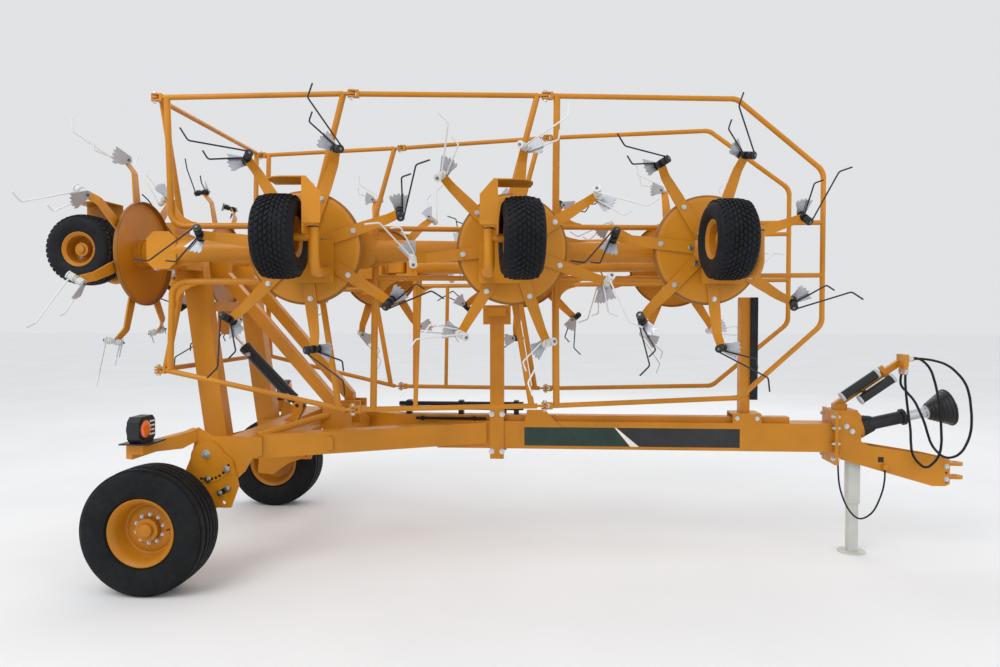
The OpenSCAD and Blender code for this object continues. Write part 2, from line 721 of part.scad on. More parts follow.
module middle_section(side) {
    color(yellow) in_section(1, side) {
        section_core(wheel_sets[2]);
        section_outer_end();
        rails(1);
        rail_fork(guard_top[1]);
        rail_fork(guard_low[1]);
        translate([pitch, 0, 0]) {
            rail_tongue(guard_top[2]);
            rail_tongue(guard_low[2]);
        }
        for (z = [-170, 150]) rod([130, 46, z], [rotor_u - 60, 46, z], 34);
        rod([150, 46, 195], [130, 0, guard_low[1] + 4], 44);
        rod([430, 46, -170], [400, 0, guard_low[1]], 30);
        corner_gusset(150, 44, -162, -1);
        rod([rotor_u - 30, 46, 200], [rotor_u + 186, 0, guard_top[2] - 5], stay_d);
        rod([rotor_u + 20, 46, -200], [rotor_u + 150, 0, guard_low[2] + 6], stay_d);
    }
}

nose_u = 1870;
module outer_section(side) {
    color(yellow) in_section(2, side) {
        section_core(wheel_sets[3]);
        rail_fork(guard_top[2]);
        rail_fork(guard_low[2]);
        // Outline of the wing's guard round its nose
        bent_tube([[fork_l - 7, 0, guard_top[2]], [1275, 0, guard_top[3]], [nose_u, 0, 550],
            [nose_u, 0, -475], [1310, 0, guard_low[3]], [fork_l - 7, 0, guard_low[2]]], rail_d, 100);
        rod([rotor_u + 50, 46, 200], [nose_u, 0, 208], rail_d - 2);
        rod([rotor_u + 50, 46, -150], [nose_u, 0, -144], rail_d - 2);
        bent_tube([[stay_u, 0, guard_top[2] - 3], [stay_u, 46, 250], [stay_u, 46, -250],
            [stay_u, 0, guard_low[2] + 3]], 44, 120);
        for (z = [-168, 172]) rod([stay_u, 46, z], [rotor_u - 60, 46, z], 36);
        corner_gusset(stay_u, 44, 172, 1);
        corner_gusset(stay_u, 44, -168, -1);
    }
}

module right_inner_section() { inner_section(-1); }
module right_middle_section() { middle_section(-1); }
module right_outer_section() { outer_section(-1); }
module left_inner_section() { inner_section(1); }
module left_middle_section() { middle_section(1); }
module left_outer_section() { outer_section(1); }

// Frame of the centre section's half: X outboard, -Y to the rotors' working face
module in_centre() {
    translate([fold_x, 0, rotor_z]) rotate([0, 0, -90]) children();
}

module tilt_frame() {
    beam_in = [fold_x + 40, rotor_z];
    color(yellow) placed() for (side = [-1, 1]) on_side(side) {
        in_centre() {
            row_tube(-1, pitch / 2);
            gearbox(pitch / 2, wheel_sets[0]);
            row_tube(pitch / 2, fold_y - 100);
            translate([pitch / 2 - 90, 40, -240]) cube([180, 12, 480]);
            translate([fold_y, 0, 0]) inner_knuckle();
            translate([fold_y, 0, 0]) {
                rail_tongue(guard_top[0]);
                rail_tongue(guard_low[0]);
            }
            tube_run([[-1, 0, guard_top[0]], [fold_y - 52, 0, guard_top[0]]], rail_d);
            tube_run([[-1, 0, guard_low[0]], [fold_y - 52, 0, guard_low[0]]], rail_d);
            tube_run([[pitch / 2, 46, 200], [fold_y - 90, 0, guard_top[0]]], 40);
            tube_run([[pitch / 2, 46, -200], [fold_y - 90, 0, guard_low[0]]], 40);
        }
        // Post from the tilt pin up to the row tube
        difference() {
            union() {
                strut_xz(tilt_pin, beam_in, -post_y, post_w, 150);
                translate([tilt_pin[0], -post_y + post_w / 2, tilt_pin[1]]) rotate([90, 0, 0])
                    cylinder(r = 75, h = post_w);
            }
            translate([tilt_pin[0], -post_y + post_w, tilt_pin[1]]) rotate([90, 0, 0])
                cylinder(d = tilt_pin_d + 1, h = 2 * post_w);
        }
        // Inclined leg whose foot rests in the saddle
        strut_xz([110, 2000], [foot_x + 35, foot_z + 80], -leg_y, 80, 80);
        translate([fold_x - 40, -leg_y - 40, 1960]) cube([240, 80, 130]);
        translate([foot_x, -leg_y - 40, foot_z]) cube([70, 80, 100]);
        // Cross tube that carries the cylinder's upper lugs
        translate([-25, -post_y, 1735]) cube([70, post_y + 1, 70]);
        plate_xz([[-25, 1750], [45, 1750], [75, 1600], [55, 1562], [5, 1562], [-15, 1600]],
            -eye_w / 2 - eye_gap - 8, 16);
    }
}

// Cylinder: barrel hinged on the chassis, rod left open at its own eye
cyl_v = upper_eye - lower_eye;
cyl_len = norm(cyl_v);
cyl_tilt = atan2(cyl_v[0], cyl_v[1]);
module along_cylinder() {
    placed() translate([lower_eye[0], 0, lower_eye[1]]) rotate([0, cyl_tilt, 0]) children();
}

barrel_l = 600;
rod_d = 45;
module cylinder_barrel() {
    color(black) along_cylinder() {
        translate([0, eye_w / 2, 0]) rotate([90, 0, 0]) cylinder(r = 38, h = eye_w);
        translate([-22, -24, 20]) cube([44, 48, 60]);
        difference() {
            translate([0, 0, 60]) cylinder(d = 88, h = barrel_l - 60);
            translate([0, 0, 130]) cylinder(d = rod_d + 1, h = barrel_l);
        }
        translate([0, 50, 0]) rotate([90, 0, 0]) cylinder(d = eye_pin_d, h = 100);
    }
}

module cylinder_rod() {
    color(steel) along_cylinder() {
        translate([0, eye_w / 2 - 2, cyl_len]) rotate([90, 0, 0]) cylinder(r = 34, h = eye_w - 4);
        translate([0, 0, 140]) cylinder(d = rod_d, h = cyl_len - 160);
    }
}

// Rotor

module rotor_dish() {
    r = dish_d / 2;
    bore = stem_d / 2 + 0.8;
    rotate_extrude() polygon([[bore, -collar], [100, -collar], [100, -8], [r - 30, -8], [r - 10, -16], [r - 4, -38],
        [r + 3, -38], [r - 3, -12], [r - 26, 0], [100, 0], [100, 8], [70, 20], [bore, 20]]);
}

arm_root = 95;
coil_z = 62;
module arm_blade() {
    // Flat bar that leaves the dish straight and is cranked to the ground side near the coil
    translate([0, 0, -1]) linear_extrude(14) polygon([[arm_root, -36], [380, -36], [540, -28], [540, 28],
        [380, 36], [arm_root, 36]]);
    translate([530, 0, 1]) rotate([0, -35, 0]) translate([0, -26, 0]) cube([90, 52, 11.5]);
}

// A double tine: lean is 1 or -1, the way its wires trail.
// The coil lies along the bolt, the wires are bent in the plane across it.
coil_tilt = 34;
coil_d = 50;
coil_h = 42;
module tine_pair(lean) {
    translate([coil_r, 0, coil_z]) rotate([lean * coil_tilt, 0, 0]) {
        translate([0, 0, -34]) cylinder(d = coil_d, h = coil_h);
        translate([0, 0, coil_h - 36]) cylinder(d = 30, h = 14);
        translate([0, 0, coil_h - 24]) cylinder(d = coil_d, h = coil_h);
        // Long wire from the coil's ground end, short wire from the other
        tine_wire(2 * coil_h - 30, lean * 58, tine_l, 85);
        tine_wire(-28, lean * 72, 215, 60);
    }
}

wire_offset = 15;
module tine_wire(z, turn, length, hook) {
    start = wire_offset * [sin(turn), -cos(turn), 0] + [0, 0, z];
    knee = start + length * [cos(turn), sin(turn), 0];
    tip = knee + [hook, 0, 0];
    tube_run([start, knee, tip], wire_d, 1.3);
}

// Serrated fan beside the coil: teeth on its outer edge only
plate_teeth = 5;
tooth_tip_r = 112;
tooth_root_r = 96;
fan_start = 42;
tooth_step = 14;
function saw_edge() = [for (k = [0 : plate_teeth - 1])
    each [tooth_tip_r * [cos(fan_start + k * tooth_step), sin(fan_start + k * tooth_step)],
        tooth_root_r * [cos(fan_start + (k + 0.75) * tooth_step), sin(fan_start + (k + 0.75) * tooth_step)]]];
module tooth_plate(lean) {
    translate([coil_r, 0, coil_z]) rotate([lean * coil_tilt, 0, 0]) translate([0, 0, -42]) scale([1, lean, 1])
        linear_extrude(9) polygon(concat([[-26, 4], [-14, -22], [22, -20]], saw_edge(), [[-24, 50]]));
}

module rotor(number, side) {
    lean = number % 2 == 1 ? -1 : 1;
    phase = phases[side < 0 ? 0 : 1][number - 1];
    color(yellow) in_rotor(number, side) {
        rotor_dish();
        for (k = [0 : arms - 1]) rotate([0, 0, phase + k * 360 / arms]) {
            arm_blade();
            tine_pair(lean);
            tooth_plate(lean);
        }
    }
}

module rotor_right_1() { rotor(1, -1); }
module rotor_right_2() { rotor(2, -1); }
module rotor_right_3() { rotor(3, -1); }
module rotor_right_4() { rotor(4, -1); }
module rotor_left_1() { rotor(1, 1); }
module rotor_left_2() { rotor(2, 1); }
module rotor_left_3() { rotor(3, 1); }
module rotor_left_4() { rotor(4, 1); }

// Rotor wheel: tyre and rim in one, its axle along the row
module rotor_wheel(number, side) {
    h = rotor_tyre_w / 2;
    r = rotor_tyre_d / 2;
    bore = axle_d / 2 + 0.8;
    color(black) in_rotor(number, side) translate([wheel_sets[number - 1][1], axle_w, wheel_z]) rotate([0, 90, 0])
        rotate_extrude() polygon([[bore, -60], [45, -60], [45, -20], [92, -20], [100, -90], [116, -96], [128, -h + 14],
            [160, -h], [r - 40, -h + 2], [r - 14, -h + 16], [r, -h + 42], [r, h - 42], [r - 14, h - 16],
            [r - 40, h - 2], [160, h], [128, h - 14], [116, 96], [100, 90], [92, -10], [45, -10], [45, 60],
            [bore, 60]]);
}

module wheel_right_1() { rotor_wheel(1, -1); }
module wheel_right_2() { rotor_wheel(2, -1); }
module wheel_right_3() { rotor_wheel(3, -1); }
module wheel_right_4() { rotor_wheel(4, -1); }
module wheel_left_1() { rotor_wheel(1, 1); }
module wheel_left_2() { rotor_wheel(2, 1); }
module wheel_left_3() { rotor_wheel(3, 1); }
module wheel_left_4() { rotor_wheel(4, 1); }

chassis_frame();
axle_arms();
rest_posts();
rest_pad();
hitch_frame();
hitch_clevis();
jack_tube();
jack_leg();
drive_guards();
drive_shaft();
hose_holder();
hose_short();
hose_long();
hose_cable();
beam_hoses();
manual_tubes();
lamp_housings();
lamp_lenses();
right_rim();
right_tyre();
left_rim();
left_tyre();
tilt_frame();
cylinder_barrel();
cylinder_rod();
right_inner_section();
right_middle_section();
right_outer_section();
left_inner_section();
left_middle_section();
left_outer_section();
rotor_right_1();
rotor_right_2();
rotor_right_3();
rotor_right_4();
rotor_left_1();
rotor_left_2();
rotor_left_3();
rotor_left_4();
wheel_right_1();
wheel_right_2();
wheel_right_3();
wheel_right_4();
wheel_left_1();
wheel_left_2();
wheel_left_3();
wheel_left_4();
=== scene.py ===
"""Trailed hay tedder, folded for the road: the dressed model on its fixed frame.

Sizes are in metres, in the frame's own axes: X to the drawbar, Y to the machine's left, Z up.
A point written in the axle's frame has X = 0 over the road wheels' axle.
"""

import logging
import math
from dataclasses import dataclass
from enum import Enum
from typing import Iterable, Sequence

import bpy
from mathutils import Matrix, Vector


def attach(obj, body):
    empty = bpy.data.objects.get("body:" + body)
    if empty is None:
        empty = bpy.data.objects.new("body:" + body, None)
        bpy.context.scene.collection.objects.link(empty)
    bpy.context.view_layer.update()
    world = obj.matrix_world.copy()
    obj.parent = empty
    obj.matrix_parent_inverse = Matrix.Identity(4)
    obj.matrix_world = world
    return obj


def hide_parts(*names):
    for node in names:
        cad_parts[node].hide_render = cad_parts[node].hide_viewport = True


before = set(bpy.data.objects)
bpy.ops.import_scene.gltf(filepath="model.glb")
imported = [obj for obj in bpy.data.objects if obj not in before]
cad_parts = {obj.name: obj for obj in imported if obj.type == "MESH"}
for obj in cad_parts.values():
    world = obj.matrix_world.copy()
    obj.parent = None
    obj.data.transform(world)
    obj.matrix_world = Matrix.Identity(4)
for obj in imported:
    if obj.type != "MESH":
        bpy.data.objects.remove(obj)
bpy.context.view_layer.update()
LOG = logging.getLogger("hay_tedder")

Point = Sequence[float]
AXLE_SHIFT = 2.24625


class Side(Enum):
    """Side of the machine; its value is the sign of Y."""

    RIGHT = -1
    LEFT = 1

    @property
    def word(self) -> str:
        """The side's word in the names of nodes and bodies."""
        return self.name.lower()

    @property
    def mirror(self) -> Matrix:
        """Turns right-hand geometry into this side's."""
        return Matrix.Identity(4) if self is Side.RIGHT else Matrix.Diagonal((1, -1, 1, 1))


class Slot(Enum):
    """The record's material slots that the dressed pieces use."""

    PAINT = "yellow_paint"
    TYRE = "tyre_rubber"
    PLASTIC = "black_plastic"
    RUBBER = "black_rubber"
    STEEL = "bare_steel"
    BLACK = "black_paint"
    LENS = "amber_lens"


def at_axle(x: float, y: float, z: float) -> Vector:
    """Gives a point of the axle's frame in the object's frame.

    Args:
        x: Distance ahead of the road wheels' axle.
        y: Distance to the left of the centre plane.
        z: Height above the ground.

    Returns:
        The point in the object's frame.
    """
    return Vector((x - AXLE_SHIFT, y, z))


AXLE_FRAME = Matrix.Translation(at_axle(0.0, 0.0, 0.0))


def shift(x: float, y: float, z: float) -> Matrix:
    """Moves by a distance along each axis."""
    return Matrix.Translation((x, y, z))


def rotate(degrees: float, axis: str) -> Matrix:
    """Turns about an axis of the frame."""
    return Matrix.Rotation(math.radians(degrees), 4, axis)


def upright(axis: Point) -> Matrix:
    """Turns the Z axis to a direction."""
    return Vector((0, 0, 1)).rotation_difference(Vector(axis).normalized()).to_matrix().to_4x4()


def polar(radius: float, degrees: float, centre: Point = (0.0, 0.0)) -> tuple[float, float]:
    """Gives the point of a plane at a distance and an angle from a centre."""
    a = math.radians(degrees)
    return centre[0] + radius * math.cos(a), centre[1] + radius * math.sin(a)


def hexagon(radius: float) -> list[tuple[float, float]]:
    """Gives a hexagon's corners, the first on the X axis."""
    return [polar(radius, 60 * k) for k in range(6)]


# Finishes


class ShaderTree:
    """One material's node tree, with short calls for the nodes that the finishes use."""

    def __init__(self, name: str) -> None:
        """Makes a material with its Principled shader."""
        self.material = bpy.data.materials.new(name)
        self.material.use_nodes = True
        self.tree = self.material.node_tree
        self.shader = self.tree.nodes["Principled BSDF"]
        self.place = self.tree.nodes.new("ShaderNodeTexCoord").outputs["Object"]

    def set(self, **values: object) -> None:
        """Sets sockets of the shader; underscores in a name stand for spaces."""
        for key, value in values.items():
            self.shader.inputs[key.replace("_", " ")].default_value = value

    def noise(self, scale: float, detail: float = 3.0, rough: float = 0.55) -> bpy.types.NodeSocket:
        """Adds a noise texture in object space and returns its factor."""
        node = self.tree.nodes.new("ShaderNodeTexNoise")
        node.inputs["Scale"].default_value = scale
        node.inputs["Detail"].default_value = detail
        node.inputs["Roughness"].default_value = rough
        self.tree.links.new(self.place, node.inputs["Vector"])
        return node.outputs["Fac"]

    def ramp(self, source: bpy.types.NodeSocket, low: float, high: float, a: float = 0.0,
             b: float = 1.0) -> bpy.types.NodeSocket:
        """Maps a value from the range low..high to a..b, clamped."""
        node = self.tree.nodes.new("ShaderNodeMapRange")
        for key, value in (("From Min", low), ("From Max", high), ("To Min", a), ("To Max", b)):
            node.inputs[key].default_value = value
        self.tree.links.new(source, node.inputs["Value"])
        return node.outputs["Result"]

    def times(self, a: bpy.types.NodeSocket, b: bpy.types.NodeSocket) -> bpy.types.NodeSocket:
        """Multiplies two values."""
        node = self.tree.nodes.new("ShaderNodeMath")
        node.operation = "MULTIPLY"
        self.tree.links.new(a, node.inputs[0])
        self.tree.links.new(b, node.inputs[1])
        return node.outputs[0]

    def mix(self, factor: bpy.types.NodeSocket, a: object, b: object) -> bpy.types.NodeSocket:
        """Mixes two colours, each a socket or a triple."""
        node = self.tree.nodes.new("ShaderNodeMix")
        node.data_type = "RGBA"
        self.tree.links.new(factor, node.inputs["Factor"])
        for value, socket in ((a, node.inputs[6]), (b, node.inputs[7])):
            if isinstance(value, bpy.types.NodeSocket):
                self.tree.links.new(value, socket)
            else:
                socket.default_value = (*value, 1.0)
        return node.outputs[2]

    def facing_up(self) -> bpy.types.NodeSocket:
        """How far a face looks up, for dust that has settled."""
        split = self.tree.nodes.new("ShaderNodeSeparateXYZ")
        place = self.tree.nodes.new("ShaderNodeTexCoord")
        self.tree.links.new(place.outputs["Normal"], split.inputs[0])
        return self.ramp(split.outputs["Z"], 0.2, 1.0)

    def roughen(self, scale: float, base: float, less: float, more: float, detail: float = 3.0) -> None:
        """Varies the roughness in patches about a base value."""
        self.feed("Roughness", self.ramp(self.noise(scale, detail), 0.3, 0.7, base - less, base + more))

    def bump(self, height: bpy.types.NodeSocket, strength: float, distance: float) -> None:
        """Bumps the surface by a height."""
        node = self.tree.nodes.new("ShaderNodeBump")
        node.inputs["Strength"].default_value = strength
        node.inputs["Distance"].default_value = distance
        self.tree.links.new(height, node.inputs["Height"])
        self.tree.links.new(node.outputs["Normal"], self.shader.inputs["Normal"])

    def feed(self, socket: str, source: bpy.types.NodeSocket) -> None:
        """Links a source into one of the shader's sockets."""
        self.tree.links.new(source, self.shader.inputs[socket])


@dataclass(frozen=True)
class PaintFinish:
    """Machine enamel: an even colour with faint cloudiness, dust on top and a light orange peel."""

    name: str
    colour: tuple[float, float, float]
    roughness: float = 0.38
    dust: float = 0.16
    dust_colour: tuple[float, float, float] = (0.42, 0.33, 0.20)

    def material(self) -> bpy.types.Material:
        """Builds the finish."""
        tree = ShaderTree(self.name)
        dark = tuple(c * 0.86 for c in self.colour)
        light = tuple(min(1.0, c * 1.06) for c in self.colour)
        clouds = tree.ramp(tree.noise(2.2, 4.0), 0.35, 0.65)
        base = tree.mix(clouds, dark, light)
        grime = tree.ramp(tree.noise(9.0, 6.0, 0.7), 0.52, 0.78, 0.0, self.dust)
        base = tree.mix(tree.times(grime, tree.facing_up()), base, self.dust_colour)
        chips = tree.ramp(tree.noise(55.0, 2.0), 0.74, 0.78, 0.0, 0.5)
        base = tree.mix(chips, base, tuple(c * 0.55 for c in self.colour))
        tree.feed("Base Color", base)
        tree.roughen(14.0, self.roughness, 0.06, 0.12)
        tree.set(Coat_Weight=0.07, Coat_Roughness=0.2, Specular_IOR_Level=0.3)
        tree.bump(tree.noise(240.0, 1.0), 0.12, 0.0006)
        return tree.material


@dataclass(frozen=True)
class RubberFinish:
    """Tyre or hose rubber: dark grey, dusty in patches, finely grained."""

    name: str
    colour: tuple[float, float, float] = (0.010, 0.0105, 0.0115)
    roughness: float = 0.66
    dust: float = 0.10
    grain: float = 420.0

    def material(self) -> bpy.types.Material:
        """Builds the finish."""
        tree = ShaderTree(self.name)
        worn = tuple(c * 1.8 + 0.003 for c in self.colour)
        base = tree.mix(tree.ramp(tree.noise(6.0, 5.0, 0.65), 0.4, 0.75, 0.0, 0.75), self.colour, worn)
        dust = tree.ramp(tree.noise(17.0, 6.0, 0.75), 0.56, 0.82, 0.0, self.dust)
        tree.feed("Base Color", tree.mix(dust, base, (0.10, 0.085, 0.06)))
        tree.roughen(30.0, self.roughness, 0.1, 0.12)
        tree.set(Specular_IOR_Level=0.18)
        tree.bump(tree.noise(self.grain, 2.0), 0.25, 0.0006)
        return tree.material


@dataclass(frozen=True)
class PlasticFinish:
    """Moulded plastic or a printed film."""

    name: str
    colour: tuple[float, float, float]
    roughness: float = 0.42
    grain: float = 700.0

    def material(self) -> bpy.types.Material:
        """Builds the finish."""
        tree = ShaderTree(self.name)
        light = tuple(min(1.0, c * 1.25 + 0.004) for c in self.colour)
        tree.feed("Base Color", tree.mix(tree.ramp(tree.noise(8.0, 4.0), 0.35, 0.7), self.colour, light))
        tree.roughen(25.0, self.roughness, 0.07, 0.09)
        tree.set(Specular_IOR_Level=0.35)
        tree.bump(tree.noise(self.grain, 1.0), 0.15, 0.0004)
        return tree.material


@dataclass(frozen=True)
class MetalFinish:
    """Bare or plated metal with faint handling marks."""

    name: str
    colour: tuple[float, float, float]
    roughness: float = 0.35
    metallic: float = 1.0
    stain: tuple[float, float, float] = (0.32, 0.28, 0.22)
    stained: float = 0.25

    def material(self) -> bpy.types.Material:
        """Builds the finish."""
        tree = ShaderTree(self.name)
        spots = tree.ramp(tree.noise(35.0, 6.0, 0.7), 0.55, 0.8, 0.0, self.stained)
        dull = tuple(c * 0.88 for c in self.colour)
        base = tree.mix(tree.ramp(tree.noise(5.0), 0.35, 0.65), dull, self.colour)
        tree.feed("Base Color", tree.mix(spots, base, self.stain))
        tree.set(Metallic=self.metallic)
        tree.roughen(60.0, self.roughness, 0.08, 0.14, detail=4.0)
        tree.bump(tree.noise(300.0, 2.0), 0.08, 0.0004)
        return tree.material


@dataclass(frozen=True)
class LensFinish:
    """Lamp lens: coloured, glossy, ribbed plastic."""

    name: str
    colour: tuple[float, float, float]

    def material(self) -> bpy.types.Material:
        """Builds the finish."""
        tree = ShaderTree(self.name)
        wave = tree.tree.nodes.new("ShaderNodeTexWave")
        wave.inputs["Scale"].default_value = 38.0
        tree.tree.links.new(tree.place, wave.inputs["Vector"])
        tree.feed("Base Color", tree.mix(tree.ramp(wave.outputs["Fac"], 0.2, 0.8, 0.0, 0.35), self.colour,
                                         tuple(c * 0.5 for c in self.colour)))
        tree.set(Roughness=0.12, Coat_Weight=0.6, Coat_Roughness=0.05)
        tree.bump(wave.outputs["Fac"], 0.5, 0.002)
        return tree.material


class Finishes:
    """Every finish of the machine, built once."""

    def __init__(self) -> None:
        """Builds the materials."""
        self.paint = PaintFinish("yellow_enamel", (0.55, 0.212, 0.008)).material()
        self.rim_paint = PaintFinish("rim_enamel", (0.49, 0.186, 0.008), roughness=0.42, dust=0.25).material()
        # The dish's rolled edge: the dish's own paint darkened, as painted shade for the shadow on the
        # turned-back rim.
        self.disc_edge = PaintFinish("disc_edge", (0.28, 0.110, 0.008), roughness=0.48, dust=0.2).material()
        self.black = PaintFinish("black_enamel", (0.014, 0.014, 0.016), roughness=0.3, dust=0.1,
                                 dust_colour=(0.2, 0.18, 0.15)).material()
        self.jack = PaintFinish("pale_enamel", (0.60, 0.61, 0.56), roughness=0.42, dust=0.3).material()
        self.turf_tyre = RubberFinish("turf_tyre", (0.0075, 0.008, 0.010)).material()
        self.road_tyre = RubberFinish("road_tyre", (0.006, 0.0065, 0.0072), dust=0.16).material()
        self.hose = RubberFinish("hose_rubber", (0.009, 0.009, 0.010), roughness=0.42, dust=0.05).material()
        self.pad = RubberFinish("rest_rubber", (0.016, 0.017, 0.019), roughness=0.7).material()
        self.plastic = PlasticFinish("black_plastic", (0.011, 0.0115, 0.0125)).material()
        self.grey_tube = PlasticFinish("grey_sleeve", (0.42, 0.43, 0.45), roughness=0.38).material()
        self.steel = MetalFinish("zinc_steel", (0.62, 0.63, 0.65)).material()
        self.bolt = MetalFinish("bolt_zinc", (0.66, 0.66, 0.66), roughness=0.3).material()
        self.chrome = MetalFinish("chromed_rod", (0.82, 0.83, 0.85), roughness=0.14, stained=0.08).material()
        self.tooth = MetalFinish("tooth_plate_zinc", (0.50, 0.52, 0.55), 0.42, metallic=0.75).material()
        self.white_tine = PaintFinish("white_spring_coat", (0.72, 0.72, 0.70), 0.4, dust=0.25).material()
        self.black_tine = PaintFinish("black_spring_coat", (0.02, 0.021, 0.023), roughness=0.38,
                                      dust=0.1).material()
        self.lens = LensFinish("amber_lens", (0.88, 0.14, 0.01)).material()
        self.clear = LensFinish("clear_lens", (0.80, 0.81, 0.82)).material()
        self.dark_bolt = MetalFinish("dark_bolt", (0.20, 0.20, 0.21), roughness=0.42).material()
        self.band_green = PlasticFinish("band_dark_green", (0.012, 0.036, 0.026), roughness=0.32).material()
        self.band_dark = PlasticFinish("band_charcoal", (0.020, 0.021, 0.022), roughness=0.32).material()
        self.band_white = PlasticFinish("band_white", (0.78, 0.78, 0.76), roughness=0.35).material()

    def dress_nodes(self) -> None:
        """Gives every CAD node its finish."""
        by_node = {
            "rest_pad": self.pad, "jack_tube": self.jack, "jack_leg": self.jack, "drive_guards": self.plastic,
            "drive_shaft": self.steel, "manual_tubes": self.plastic, "lamp_housings": self.plastic,
            "lamp_lenses": self.lens, "cylinder_barrel": self.black, "cylinder_rod": self.chrome,
            "right_tyre": self.road_tyre, "left_tyre": self.road_tyre, "right_rim": self.rim_paint,
            "left_rim": self.rim_paint,
        }
        for name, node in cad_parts.items():
            material = by_node.get(name, self.paint)
            if name.startswith("wheel_"):
                material = self.turf_tyre
            elif name in ("hose_short", "hose_long", "hose_cable", "beam_hoses"):
                material = self.hose
            node.data.materials.clear()
            node.data.materials.append(material)


# Meshes

# A bolt's washer radius and thickness, head height and thread radius, as shares of its half width
WASHER_R, WASHER_T, HEAD_H, THREAD_R = 1.28, 0.22, 0.78, 0.5
# Small step between a form and the face that it lies on, into the face or off it
SEAT = 0.0002
# Faces of a block whose corners are the four of its foot and then the four of its top
BLOCK_FACES = ((0, 3, 2, 1), (4, 5, 6, 7), (0, 1, 5, 4), (1, 2, 6, 5), (2, 3, 7, 6), (3, 0, 4, 7))
# Edges are shaded smooth below the first angle, and rounded above the second
SMOOTH_BELOW, BEVEL_LIMIT = math.radians(34), math.radians(40)


def mirrored(profile: Sequence[Point]) -> list[Point]:
    """Gives the other half of a wheel's profile of (radius, z) points, in reverse order."""
    return [(r, -z) for r, z in reversed(profile)]


